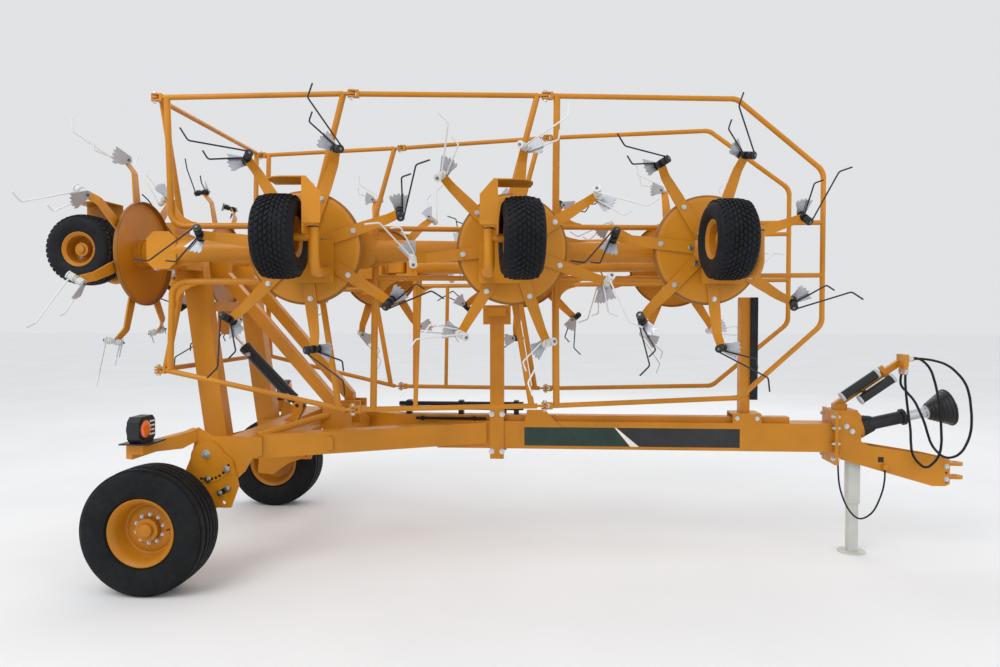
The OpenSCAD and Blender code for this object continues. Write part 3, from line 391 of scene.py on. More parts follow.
class Draft:
    """Gathers the corners and faces of one piece and makes its object."""

    def __init__(self) -> None:
        """Starts empty."""
        self.points: list[Vector] = []
        self.faces: list[list[int]] = []

    def add(self, points: Iterable[Point], faces: Iterable[Sequence[int]], place: Matrix) -> None:
        """Adds a closed shape.

        Args:
            points: Its corners.
            faces: Its faces, as corner numbers that count from 0.
            place: Where it goes; a mirroring place turns its faces over.
        """
        start = len(self.points)
        self.points += [place @ Vector(p) for p in points]
        flip = place.to_3x3().determinant() < 0
        for f in faces:
            run = [start + i for i in f]
            self.faces.append(run[::-1] if flip else run)

    def prism(self, outline: Sequence[Point], height: float, place: Matrix) -> None:
        """Adds an outline of the XY plane, counter-clockwise, raised along Z."""
        n = len(outline)
        points = [(x, y, 0.0) for x, y in outline] + [(x, y, height) for x, y in outline]
        faces: list[Sequence[int]] = [list(range(n))[::-1], list(range(n, 2 * n))]
        faces += [(i, (i + 1) % n, n + (i + 1) % n, n + i) for i in range(n)]
        self.add(points, faces, place)

    def box(self, low: Point, high: Point, place: Matrix) -> None:
        """Adds a block between two corners."""
        (x0, y0, z0), (x1, y1, z1) = low, high
        self.prism([(x0, y0), (x1, y0), (x1, y1), (x0, y1)], z1 - z0, place @ shift(0, 0, z0))

    def rings(self, profile: Sequence[Point], steps: int) -> list[Point]:
        """Carries a profile of (radius, z) points round Z."""
        return [(*polar(r, 360 * k / steps), z) for k in range(steps) for r, z in profile]

    def revolve(self, profile: Sequence[Point], steps: int, place: Matrix) -> None:
        """Adds a ring from a closed profile of (radius, z) points, clockwise seen with z to the right."""
        n = len(profile)
        faces = []
        for k in range(steps):
            a, b = k * n, ((k + 1) % steps) * n
            faces += [(a + i, b + i, b + (i + 1) % n, a + (i + 1) % n) for i in range(n)]
        self.add(self.rings(profile, steps), faces, place)

    def turned(self, profile: Sequence[Point], steps: int, place: Matrix) -> None:
        """Adds a solid of revolution from an open profile of (radius, z) points whose ends are capped."""
        n = len(profile)
        faces: list[Sequence[int]] = []
        for k in range(steps):
            a, b = k * n, ((k + 1) % steps) * n
            faces += [(a + i, b + i, b + i + 1, a + i + 1) for i in range(n - 1)]
        faces.append([k * n for k in range(steps)][::-1])
        faces.append([k * n + n - 1 for k in range(steps)])
        self.add(self.rings(profile, steps), faces, place)

    def tube(self, path: Sequence[Point], radius: float, sides: int, place: Matrix) -> None:
        """Adds a round bar that follows a path.

        Args:
            path: Its middle line.
            radius: Its radius.
            sides: Corners of its section.
            place: Where it goes.
        """
        line = [Vector(p) for p in path]
        last = len(line) - 1
        points: list[Vector] = []
        normal = (line[1] - line[0]).orthogonal()
        for i, p in enumerate(line):
            behind = (line[max(i, 1)] - line[max(i - 1, 0)]).normalized()
            ahead = (line[min(i + 1, last)] - line[min(i, last - 1)]).normalized()
            along = (behind + ahead).normalized()
            normal = (normal - along * normal.dot(along)).normalized()
            across = along.cross(normal)
            # In a bend the section is stretched across the fold, so that the bar keeps its thickness
            fold = (ahead - behind).normalized()
            stretch = 1.0 / max(0.5, along.dot(ahead))
            for k in range(sides):
                t = 2 * math.pi * k / sides
                out = normal * math.cos(t) + across * math.sin(t)
                points.append(p + (out + fold * out.dot(fold) * (stretch - 1.0)) * radius)
        faces: list[Sequence[int]] = [list(range(sides))[::-1]]
        for i in range(last):
            a, b = i * sides, (i + 1) * sides
            faces += [(a + k, a + (k + 1) % sides, b + (k + 1) % sides, b + k) for k in range(sides)]
        faces.append([last * sides + k for k in range(sides)])
        self.add(points, faces, place)

    def bolt(self, at: Point, axis: Point, across: float, place: Matrix, washer: bool = True,
             stand: float = 0.0) -> None:
        """Adds a hexagon bolt head with its washer on a surface.

        Args:
            at: The point of the surface under the head.
            axis: The way out of the surface.
            across: Width across the head's corners.
            place: Where it goes.
            washer: Whether a washer lies under the head.
            stand: Length of thread that stands out of the head, as on a nut.
        """
        here = place @ Matrix.Translation(at) @ upright(axis)
        r = across / 2
        base = 0.0
        if washer:
            base = r * WASHER_T
            self.turned([(r * WASHER_R, 0.0), (r * WASHER_R, base)], 20, here)
        self.prism(hexagon(r), r * HEAD_H, here @ shift(0, 0, base - SEAT))
        if stand:
            self.turned([(r * THREAD_R, base), (r * THREAD_R, base + r * HEAD_H + stand)], 14, here)

    def piece(self, name: str, material: bpy.types.Material, body: str, slot: Slot,
              replaces: Sequence[str] = (), bevel: float = 0.0) -> bpy.types.Object:
        """Makes the object.

        Args:
            name: The piece's name.
            material: Its finish.
            body: The CAD body that it rides on.
            slot: The record's slot for its finish; not used.
            replaces: CAD nodes that it stands for.
            bevel: Width of the rounding on its sharp edges.

        Returns:
            The new object.
        """
        mesh = bpy.data.meshes.new(name)
        mesh.from_pydata([tuple(p) for p in self.points], [], self.faces)
        mesh.update()
        mesh.polygons.foreach_set("use_smooth", [True] * len(mesh.polygons))
        mesh.set_sharp_from_angle(angle=SMOOTH_BELOW)
        mesh.materials.append(material)
        obj = bpy.data.objects.new(name, mesh)
        bpy.context.scene.collection.objects.link(obj)
        if bevel:
            rounding = obj.modifiers.new("edge_rounding", "BEVEL")
            rounding.width = bevel
            rounding.segments = 2
            rounding.limit_method = "ANGLE"
            rounding.angle_limit = BEVEL_LIMIT
            rounding.harden_normals = True
        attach(obj, body)
        if replaces:
            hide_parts(*replaces)
        LOG.info("%s: %d faces on %s", name, len(mesh.polygons), body)
        return obj


# The row of rotors


@dataclass(frozen=True)
class RowPlan:
    """Where the sections and rotors lie when the machine is folded."""

    pitch: float = 1.250
    pin_offset: float = 0.240
    dish_offset: float = 0.240
    rotor_z: float = 2.120
    fold_x: float = -0.050
    leans: tuple[float, float, float] = (4.0, 9.0, 7.0)
    wheel_depth: float = 0.380
    axle_up: float = 0.028
    wheel_shifts: tuple[float, ...] = (0.0, -0.040, 0.010, -0.015)
    leg_sides: tuple[int, ...] = (-1, 1, -1, 1)
    leg_out: float = 0.185
    guard_top: tuple[float, ...] = (0.975, 1.000, 1.020)
    guard_low: tuple[float, ...] = (-0.765, -1.020, -1.010)

    def section(self, index: int, side: Side) -> Matrix:
        """Frame of wing section 0 to 2: X along it, -Y to the working face."""
        x, y = self.fold_x, -(self.pitch / 2 + self.pin_offset)
        for lean in self.leans[:index]:
            x += self.pitch * math.cos(math.radians(lean))
            y += self.pitch * math.sin(math.radians(lean))
        turn = rotate(self.leans[index], "Z")
        return side.mirror @ Matrix.Translation(at_axle(x, y, self.rotor_z)) @ turn

    def centre(self, side: Side) -> Matrix:
        """Frame of the centre section's half: X outboard, -Y to the working face."""
        return (side.mirror @ Matrix.Translation(at_axle(self.fold_x, 0, self.rotor_z))
                @ rotate(-90, "Z"))

    def rotor(self, number: int, side: Side) -> Matrix:
        """Frame of rotor 1 to 4: Z to the ground side, X outboard, Y up."""
        stand = rotate(90, "X")
        if number == 1:
            here = self.centre(side) @ shift(self.pitch / 2, -self.dish_offset, 0)
        else:
            here = self.section(number - 2, side) @ Matrix.Translation(
                (self.pitch - self.pin_offset, -self.dish_offset, 0))
        return here @ stand

    def carrier(self, number: int, side: Side) -> str:
        """Body that carries rotor 1 to 4."""
        if number == 1:
            return "tilt_frame"
        return f"{side.word}_{('inner', 'middle', 'outer')[number - 2]}_section"

    def wheel_centre(self, number: int) -> Vector:
        """Middle of a rotor's wheel in the rotor's frame."""
        return Vector((self.wheel_shifts[number - 1], self.axle_up, self.wheel_depth))

    def leg_x(self, number: int) -> float:
        """Place of a wheel's leg along X of the rotor's frame."""
        return self.wheel_shifts[number - 1] + self.leg_sides[number - 1] * self.leg_out


class Coat(Enum):
    """Coating of a rotor's tines."""

    WHITE = "white"
    BLACK = "black"


@dataclass
class Rotor:
    """A rotor: its dish, arms, sprung double tines and tooth plates."""

    plan: RowPlan
    number: int
    side: Side
    dish_r: float = 0.345
    arms: int = 7
    arm_root: float = 0.095
    coil_r: float = 0.620
    coil_z: float = 0.062
    coil_tilt: float = 34.0
    wire_r: float = 0.005
    spring_r: float = 0.0195
    spring_points: int = 40
    turns: float = 3.0
    long_coil: tuple[float, float] = (0.024, 0.0545)
    short_coil: tuple[float, float] = (0.002, -0.0285)
    collars: tuple[tuple[float, float], ...] = ((0.0600, 0.0665), (0.0180, 0.0190), (0.0070, 0.0080),
                                                (-0.0352, -0.0338))
    long_wire: tuple[float, float, float] = (58.0, 0.335, 0.085)
    short_wire: tuple[float, float, float] = (72.0, 0.215, 0.060)
    teeth: int = 5
    fan_start: float = 42.0
    tooth_step: float = 14.0
    phases: tuple[tuple[float, ...], ...] = ((32.43, 19.0, 32.43, 19.0), (6.71, 44.71, 6.71, 44.71))

    @property
    def name(self) -> str:
        """Name of the rotor's body and node."""
        return f"rotor_{self.side.word}_{self.number}"

    @property
    def lean(self) -> int:
        """The way its wires trail: 1 or -1."""
        return -1 if self.number % 2 else 1

    @property
    def coat(self) -> Coat:
        """White on the right side's odd rotors and the left side's even ones."""
        return Coat.WHITE if (self.number % 2 == 1) == (self.side is Side.RIGHT) else Coat.BLACK

    def spokes(self) -> list[Matrix]:
        """Frames of the arms."""
        here = self.plan.rotor(self.number, self.side)
        phase = self.phases[0 if self.side is Side.RIGHT else 1][self.number - 1]
        return [here @ rotate(phase + 360 * k / self.arms, "Z")
                for k in range(self.arms)]

    def dish(self, finishes: Finishes) -> None:
        """Builds the pressed dish with its rolled edge and hub."""
        here = self.plan.rotor(self.number, self.side)
        r = self.dish_r
        hub = [(0.0428, -0.050), (0.0428, 0.020), (0.070, 0.020), (0.078, 0.016), (0.098, 0.009)]
        face = [(0.104, 0.002), (0.118, 0.0), (r - 0.040, 0.0), (r - 0.026, 0.0012), (r - 0.012, -0.004)]
        back = [(r - 0.012, -0.012), (r - 0.030, -0.008), (0.104, -0.008), (0.100, -0.012), (0.100, -0.050)]
        draft = Draft()
        draft.revolve(hub + face + back, 96, here)
        draft.piece(f"dish_{self.name}", finishes.paint, self.name, Slot.PAINT, replaces=(self.name,))
        # The rolled edge ring takes the darker paint: painted shade for the shadow on the turned-back rim.
        edge = Draft()
        edge.revolve([(r - 0.013, -0.005), (r - 0.004, -0.010), (r + 0.003, -0.020), (r + 0.003, -0.038),
                      (r - 0.003, -0.038), (r - 0.005, -0.022), (r - 0.013, -0.013)], 96, here)
        edge.piece(f"dish_edge_{self.name}", finishes.disc_edge, self.name, Slot.PAINT)

    def arm_blades(self, finishes: Finishes) -> None:
        """Builds the flat arms, cranked to the ground side before the coil."""
        draft = Draft()
        bolts = Draft()
        lift = [(self.arm_root, 0.0), (0.380, 0.0), (0.530, 0.0), (0.548, 0.008), (0.606, 0.049)]
        width = [0.036, 0.036, 0.029, 0.028, 0.026]
        thick = 0.012
        bolt_places = (0.120, 0.312)
        for spoke in self.spokes():
            points, faces = [], []
            for (x, z), w in zip(lift, width):
                points += [(x, -w, z), (x, w, z), (x, w, z + thick), (x, -w, z + thick)]
            for i in range(len(lift) - 1):
                a, b = 4 * i, 4 * i + 4
                faces += [(a + k, b + k, b + (k + 1) % 4, a + (k + 1) % 4) for k in range(4)]
            faces += [(0, 1, 2, 3), tuple(range(4 * len(lift) - 4, 4 * len(lift)))[::-1]]
            draft.add(points, faces, spoke)
            # Boss on which the tine's bolt is held
            tilt = spoke @ self.coil_frame()
            draft.turned([(0.0148, 0.0045), (0.0148, 0.0215)], 20, tilt)
            for x in bolt_places:
                bolts.bolt((x, 0, thick), (0, 0, 1), 0.026, spoke)
        draft.piece(f"arms_{self.name}", finishes.paint, self.name, Slot.PAINT, bevel=0.0012)
        bolts.piece(f"arm_bolts_{self.name}", finishes.bolt, self.name, Slot.STEEL)

    def coil_frame(self) -> Matrix:
        """Frame of a double tine in its arm's frame: Z along the coils' bolt."""
        return (shift(self.coil_r, 0, self.coil_z)
                @ rotate(self.lean * self.coil_tilt, "X"))

    def wire(self, low: float, high: float, turn: float, length: float, hook: float) -> list[Vector]:
        """Middle line of one spring and its wire.

        Args:
            low: Where the spring starts along the bolt.
            high: Where the spring ends and the wire leaves it.
            turn: The wire's angle from the arm, in degrees, signed by the way it trails.
            length: Its length up to the bend.
            hook: The length beyond the bend.

        Returns:
            The points of the line.
        """
        line = []
        for i in range(self.spring_points):
            t = i / (self.spring_points - 1)
            x, y = polar(self.spring_r, turn - 90 - 360 * self.turns * (1 - t))
            line.append(Vector((x, y, low + (high - low) * t)))
        way = Vector((*polar(1.0, turn), 0.0))
        start = line[-1]
        knee = start + way * length
        line += [start + way * 0.02, knee - way * 0.012, knee + (way * -0.003 + Vector((0.003, 0, 0)))]
        line += [knee + Vector((0.014, 0, 0)), knee + Vector((hook, 0, 0))]
        return line

    def tines(self, finishes: Finishes) -> None:
        """Builds the springs, their wires, holders and bolts."""
        coated = finishes.white_tine if self.coat is Coat.WHITE else finishes.black_tine
        wires, holders, bolts = Draft(), Draft(), Draft()
        for spoke in self.spokes():
            place = spoke @ self.coil_frame()
            for (turn, length, hook), (low, high) in ((self.long_wire, self.long_coil),
                                                      (self.short_wire, self.short_coil)):
                wires.tube(self.wire(low, high, self.lean * turn, length, hook), self.wire_r, 8, place)
            holders.turned([(0.0150, -0.0350), (0.0150, 0.0610)], 18, place)
            for low, high in self.collars:
                holders.turned([(0.0225, low), (0.0248, low + 0.0003), (0.0248, high - 0.0003),
                                (0.0225, high)], 24, place)
            bolts.bolt((0, 0, 0.0664), (0, 0, 1), 0.019, place, washer=False)
            bolts.bolt((0, 0, -0.0425), (0, 0, -1), 0.019, place, washer=False, stand=0.004)
        wires.piece(f"tines_{self.name}", coated, self.name, Slot.STEEL)
        holders.piece(f"tine_holders_{self.name}", coated, self.name, Slot.STEEL)
        bolts.piece(f"tine_bolts_{self.name}", finishes.dark_bolt, self.name, Slot.STEEL)

    def tooth_plates(self, finishes: Finishes) -> None:
        """Builds the serrated plates beside the springs."""
        draft = Draft()
        outline = [(-0.026, 0.004), (-0.014, -0.022), (0.022, -0.020)]
        for k in range(self.teeth):
            for radius, share in ((0.112, 0.0), (0.106, 0.35), (0.096, 0.75)):
                outline.append(polar(radius, self.fan_start + (k + share) * self.tooth_step))
        outline.append((-0.024, 0.050))
        if self.lean < 0:
            outline = [(x, -y) for x, y in outline][::-1]
        for spoke in self.spokes():
            place = spoke @ self.coil_frame() @ shift(0, 0, -0.0425)
            draft.prism(outline, 0.005, place)
        draft.piece(f"tooth_plates_{self.name}", finishes.tooth, self.name, Slot.STEEL, bevel=0.0008)

    def build(self, finishes: Finishes) -> None:
        """Builds the whole rotor."""
        self.dish(finishes)
        self.arm_blades(finishes)
        self.tines(finishes)
        self.tooth_plates(finishes)


@dataclass
class RotorWheel:
    """The gauge wheel under a rotor: a turf tyre on a pressed rim."""

    plan: RowPlan
    number: int
    side: Side
    radius: float = 0.2375
    half_width: float = 0.118
    seat: float = 0.104
    tread_depth: float = 0.009
    blocks: int = 40
    shoulder_z: float = 0.08
    crown_z: float = 0.05
    slant: float = 0.036
    block_share: float = 0.72
    rim_bolts: int = 4
    bolt_circle: float = 0.064

    @property
    def name(self) -> str:
        """Name of the wheel's body and node."""
        return f"wheel_{self.side.word}_{self.number}"

    def place(self) -> Matrix:
        """Frame of the wheel: Z along its axle, outboard."""
        return (self.plan.rotor(self.number, self.side)
                @ Matrix.Translation(self.plan.wheel_centre(self.number))
                @ rotate(90, "Y"))

    def tyre(self, finishes: Finishes) -> None:
        """Builds the carcass and its rows of staggered blocks."""
        r, h = self.radius - self.tread_depth, self.half_width
        half = [(self.seat, 0.078), (0.112, 0.094), (0.126, 0.104), (0.150, 0.116), (0.176, h),
                (0.198, h - 0.004), (r - 0.020, h - 0.014), (r - 0.006, h - 0.032), (r, h - 0.058)]
        draft = Draft()
        draft.revolve((half + [(r + 0.001, 0.0)] + mirrored(half))[::-1], 96, self.place())
        draft.piece(f"tyre_{self.name}", finishes.turf_tyre, self.name, Slot.TYRE, replaces=(self.name,))
        tread = Draft()
        # Place across the tyre, width, and share of a block by which the row is set on
        rows = [(-0.086, 0.020, 0.4), (-0.060, 0.019, 0.0), (-0.036, 0.018, 0.5), (-0.012, 0.018, 0.0),
                (0.012, 0.018, 0.5), (0.036, 0.018, 0.0), (0.060, 0.019, 0.5), (0.086, 0.020, 0.1)]
        for z, width, offset in rows:
            edge = abs(z) > self.shoulder_z
            low = r - (0.012 if edge else 0.004)
            top = self.radius - (0.010 if edge else (0.003 if abs(z) > self.crown_z else 0.0))
            skew = self.slant if z > 0 else -self.slant
            half_angle = self.block_share * math.pi / self.blocks
            for k in range(self.blocks):
                a = 2 * math.pi * (k + offset) / self.blocks
                self.block(tread, a, half_angle, low, top, z, width / 2, skew)
        tread.piece(f"tread_{self.name}", finishes.turf_tyre, self.name, Slot.TYRE)

    def block(self, draft: Draft, angle: float, half_angle: float, low: float, top: float, z: float,
              half_width: float, skew: float) -> None:
        """Adds one tread block, set aslant."""
        points = []
        for radius, shrink in ((low, 1.0), (top, 0.86)):
            for sa, sz in ((-1, -1), (1, -1), (1, 1), (-1, 1)):
                a = angle + sa * half_angle * shrink + sz * skew
                points.append((radius * math.cos(a), radius * math.sin(a), z + sz * half_width * shrink))
        draft.add(points, BLOCK_FACES, self.place())

    def rim(self, finishes: Finishes) -> None:
        """Builds the pressed rim with its hub and bolts."""
        draft = Draft()
        draft.revolve([(0.0258, -0.060), (0.0258, 0.060), (0.045, 0.060), (0.045, -0.004), (0.052, -0.010),
                       (0.080, -0.012), (0.090, -0.004), (0.094, 0.030), (0.092, 0.082), (0.100, 0.090),
                       (0.112, 0.098), (0.118, 0.096), (0.118, 0.091), (self.seat, 0.076),
                       (self.seat - 0.003, 0.0), (self.seat, -0.076), (0.118, -0.091), (0.118, -0.096),
                       (0.112, -0.098), (0.100, -0.090), (0.092, -0.082), (0.088, -0.026), (0.080, -0.020),
                       (0.052, -0.020), (0.045, -0.016), (0.045, -0.060)][::-1], 64, self.place())
        draft.turned([(0.018, -0.004), (0.024, 0.0), (0.024, 0.004)], 24, self.place() @ shift(0, 0, -0.0642))
        draft.turned([(0.024, 0.0), (0.024, 0.010), (0.018, 0.014)], 24, self.place() @ shift(0, 0, 0.0602))
        draft.piece(f"rim_{self.name}", finishes.rim_paint, self.name, Slot.PAINT)
        bolts = Draft()
        for k in range(self.rim_bolts):
            x, y = polar(self.bolt_circle, 45 + 360 * k / self.rim_bolts)
            bolts.bolt((x, y, -0.010), (0, 0, 1), 0.019, self.place())
            bolts.bolt((x, y, -0.020), (0, 0, -1), 0.019, self.place())
        bolts.piece(f"rim_bolts_{self.name}", finishes.bolt, self.name, Slot.STEEL)

    def leg_fittings(self, finishes: Finishes) -> None:
        """Builds the plug on the leg's top and the bolts of its plate."""
        here = self.plan.rotor(self.number, self.side)
        body = self.plan.carrier(self.number, self.side)
        plug, bolts = Draft(), Draft()
        top = shift(self.plan.leg_x(self.number), 0.0778, self.plan.wheel_depth)
        plug.turned([(0.0285, 0.0), (0.0315, 0.0015), (0.0315, 0.006), (0.027, 0.009)], 28,
                    here @ top @ rotate(-90, "X"))
        plug.piece(f"leg_plug_{self.name}", finishes.plastic, body, Slot.PLASTIC)
        for x, y in ((-0.032, -0.075), (0.032, -0.075), (-0.032, 0.020), (0.032, 0.020)):
            bolts.bolt((x, y, 0.0622), (0, 0, 1), 0.024, here)
        bolts.piece(f"leg_bolts_{self.name}", finishes.bolt, body, Slot.STEEL)

    def build(self, finishes: Finishes) -> None:
        """Builds the whole wheel."""
        self.tyre(finishes)
        self.rim(finishes)
        self.leg_fittings(finishes)


@dataclass
class RoadWheel:
    """A road wheel: ribbed implement tyre on a pressed steel rim."""

    side: Side
    radius: float = 0.392
    half_width: float = 0.140
    track: float = 2.160
    seat: float = 0.210
    groove: float = 0.015
    nuts: int = 10
    nut_circle: float = 0.088

    @property
    def body(self) -> str:
        """The wheel's body."""
        return f"{self.side.word}_road_wheel"

    def place(self) -> Matrix:
        """Frame of the wheel: Z along its axle, outboard."""
        return (self.side.mirror @ Matrix.Translation(at_axle(0, -self.track / 2, self.radius))
                @ rotate(90, "X"))

    def tyre(self, finishes: Finishes) -> None:
        """Builds the tyre with its circular ribs."""
        r, h = self.radius, self.half_width
        crown = []
        ribs = [(-0.106, -0.068), (-0.056, -0.028), (-0.016, 0.016), (0.028, 0.056), (0.068, 0.106)]
        for low, high in ribs:
            drop = 0.004 if abs(low + high) > 0.14 else 0.0
            foot = r - drop - self.groove
            crown += [(foot, low - 0.001), (r - drop, low + 0.002), (r - drop, high - 0.002),
                      (foot, high + 0.001)]
        left = [(self.seat, -0.104), (0.222, -0.124), (0.250, -0.134), (0.290, -h), (0.330, -h + 0.002),
                (0.356, -h + 0.010), (0.366, -h + 0.014), (r - 0.016, -h + 0.026)]
        inner = [(self.seat, 0.088), (0.198, 0.076), (0.200, 0.0), (0.198, -0.076), (self.seat, -0.088)]
        draft = Draft()
        draft.revolve(left + crown + mirrored(left) + inner, 120, self.place())
        node = f"{self.side.word}_tyre"
        draft.piece(f"dressed_{node}", finishes.road_tyre, self.body, Slot.TYRE, replaces=(node,))

    def rim(self, finishes: Finishes) -> None:
        """Builds the rim with its disc, hub, nuts and valve."""
        node = f"{self.side.word}_rim"
        draft = Draft()
        draft.revolve([(0.031, -0.060), (0.070, -0.060), (0.070, -0.018), (0.110, -0.016), (0.150, -0.018),
                       (0.165, -0.056), (0.184, -0.098), (0.2097, -0.112), (0.2097, -0.088), (0.192, -0.084),
                       (0.184, -0.060), (0.178, 0.060), (0.188, 0.084), (0.2097, 0.088), (0.2097, 0.112),
                       (0.204, 0.114), (0.186, 0.101), (0.170, 0.066), (0.163, 0.010), (0.156, -0.002),
                       (0.146, -0.006), (0.128, 0.002), (0.110, 0.004), (0.084, 0.0), (0.070, -0.002),
                       (0.070, 0.040), (0.031, 0.040)], 96, self.place())
        draft.turned([(0.042, 0.036), (0.044, 0.052), (0.040, 0.060), (0.026, 0.064)], 36, self.place())
        draft.piece(f"dressed_{node}", finishes.rim_paint, self.body, Slot.PAINT, replaces=(node,))
        nuts = Draft()
        for k in range(self.nuts):
            x, y = polar(self.nut_circle, 360 * (k + 0.4) / self.nuts)
            nuts.bolt((x, y, 0.0), (0, 0, 1), 0.020, self.place(), stand=0.007)
        nuts.piece(f"wheel_nuts_{node}", finishes.bolt, self.body, Slot.STEEL)
        valve = Draft()
        stem = [(0.172, 0.02, 0.060), (0.166, 0.02, 0.086), (0.158, 0.02, 0.100)]
        valve.tube(stem, 0.004, 10, self.place())
        valve.piece(f"valve_{node}", finishes.plastic, self.body, Slot.PLASTIC)

    def build(self, finishes: Finishes) -> None:
        """Builds the whole wheel."""
        self.tyre(finishes)
        self.rim(finishes)


@dataclass
class BeamBand:
    """The two-tone band with a white slash along the beam, left without letters."""

    x_range: tuple[float, float] = (2.28, 3.82)
    z_range: tuple[float, float] = (0.758, 0.893)
    slash_top: float = 2.93
    slash_low: tuple[float, float] = (3.04, 3.105)
    slash_tip: float = 0.008
    gap: float = 0.004
    film: float = 0.0012
    face_y: float = 0.090
    plate_y: float = 0.098
    over_plate: tuple[tuple[float, float], ...] = ((2.280, 0.8005), (2.5995, 0.8005), (2.5995, 0.830),
                                                   (2.5435, 0.893), (2.280, 0.893))

    def strip(self, name: str, material: bpy.types.Material, outline: Sequence[Point], face_y: float,
              side: Side) -> None:
        """Lays a film of one colour on a side face.

        Args:
            name: The piece's name.
            material: Its finish.
            outline: Its corners along the beam and up.
            face_y: The face's distance from the centre plane.
            side: The side that it looks to.
        """
        draft = Draft()
        place = side.mirror @ AXLE_FRAME @ shift(0, -face_y + SEAT, 0) @ rotate(90, "X")
        draft.prism(outline, self.film, place)
        draft.piece(name, material, "chassis", Slot.PLASTIC)

    def build(self, finishes: Finishes) -> None:
        """Builds the band on both faces of the beam, and over the trapezoid plate on the near one."""
        self.strip("band_green_over_plate", finishes.band_green, self.over_plate, self.plate_y, Side.RIGHT)
        (x0, x1), (z0, z1) = self.x_range, self.z_range
        top, (low_a, low_b) = self.slash_top, self.slash_low
        white = top + self.gap
        dark = white + self.slash_tip + self.gap
        parts = (("green", finishes.band_green, [(x0, z0), (low_a, z0), (top, z1), (x0, z1)]),
                 ("white", finishes.band_white, [(low_a + self.gap, z0), (low_b, z0),
                                                 (white + self.slash_tip, z1), (white, z1)]),
                 ("dark", finishes.band_dark, [(low_b + self.gap, z0), (x1, z0), (x1, z1), (dark, z1)]))
        for side in Side:
            for word, material, outline in parts:
                self.strip(f"band_{word}_{side.word}", material, outline, self.face_y, side)


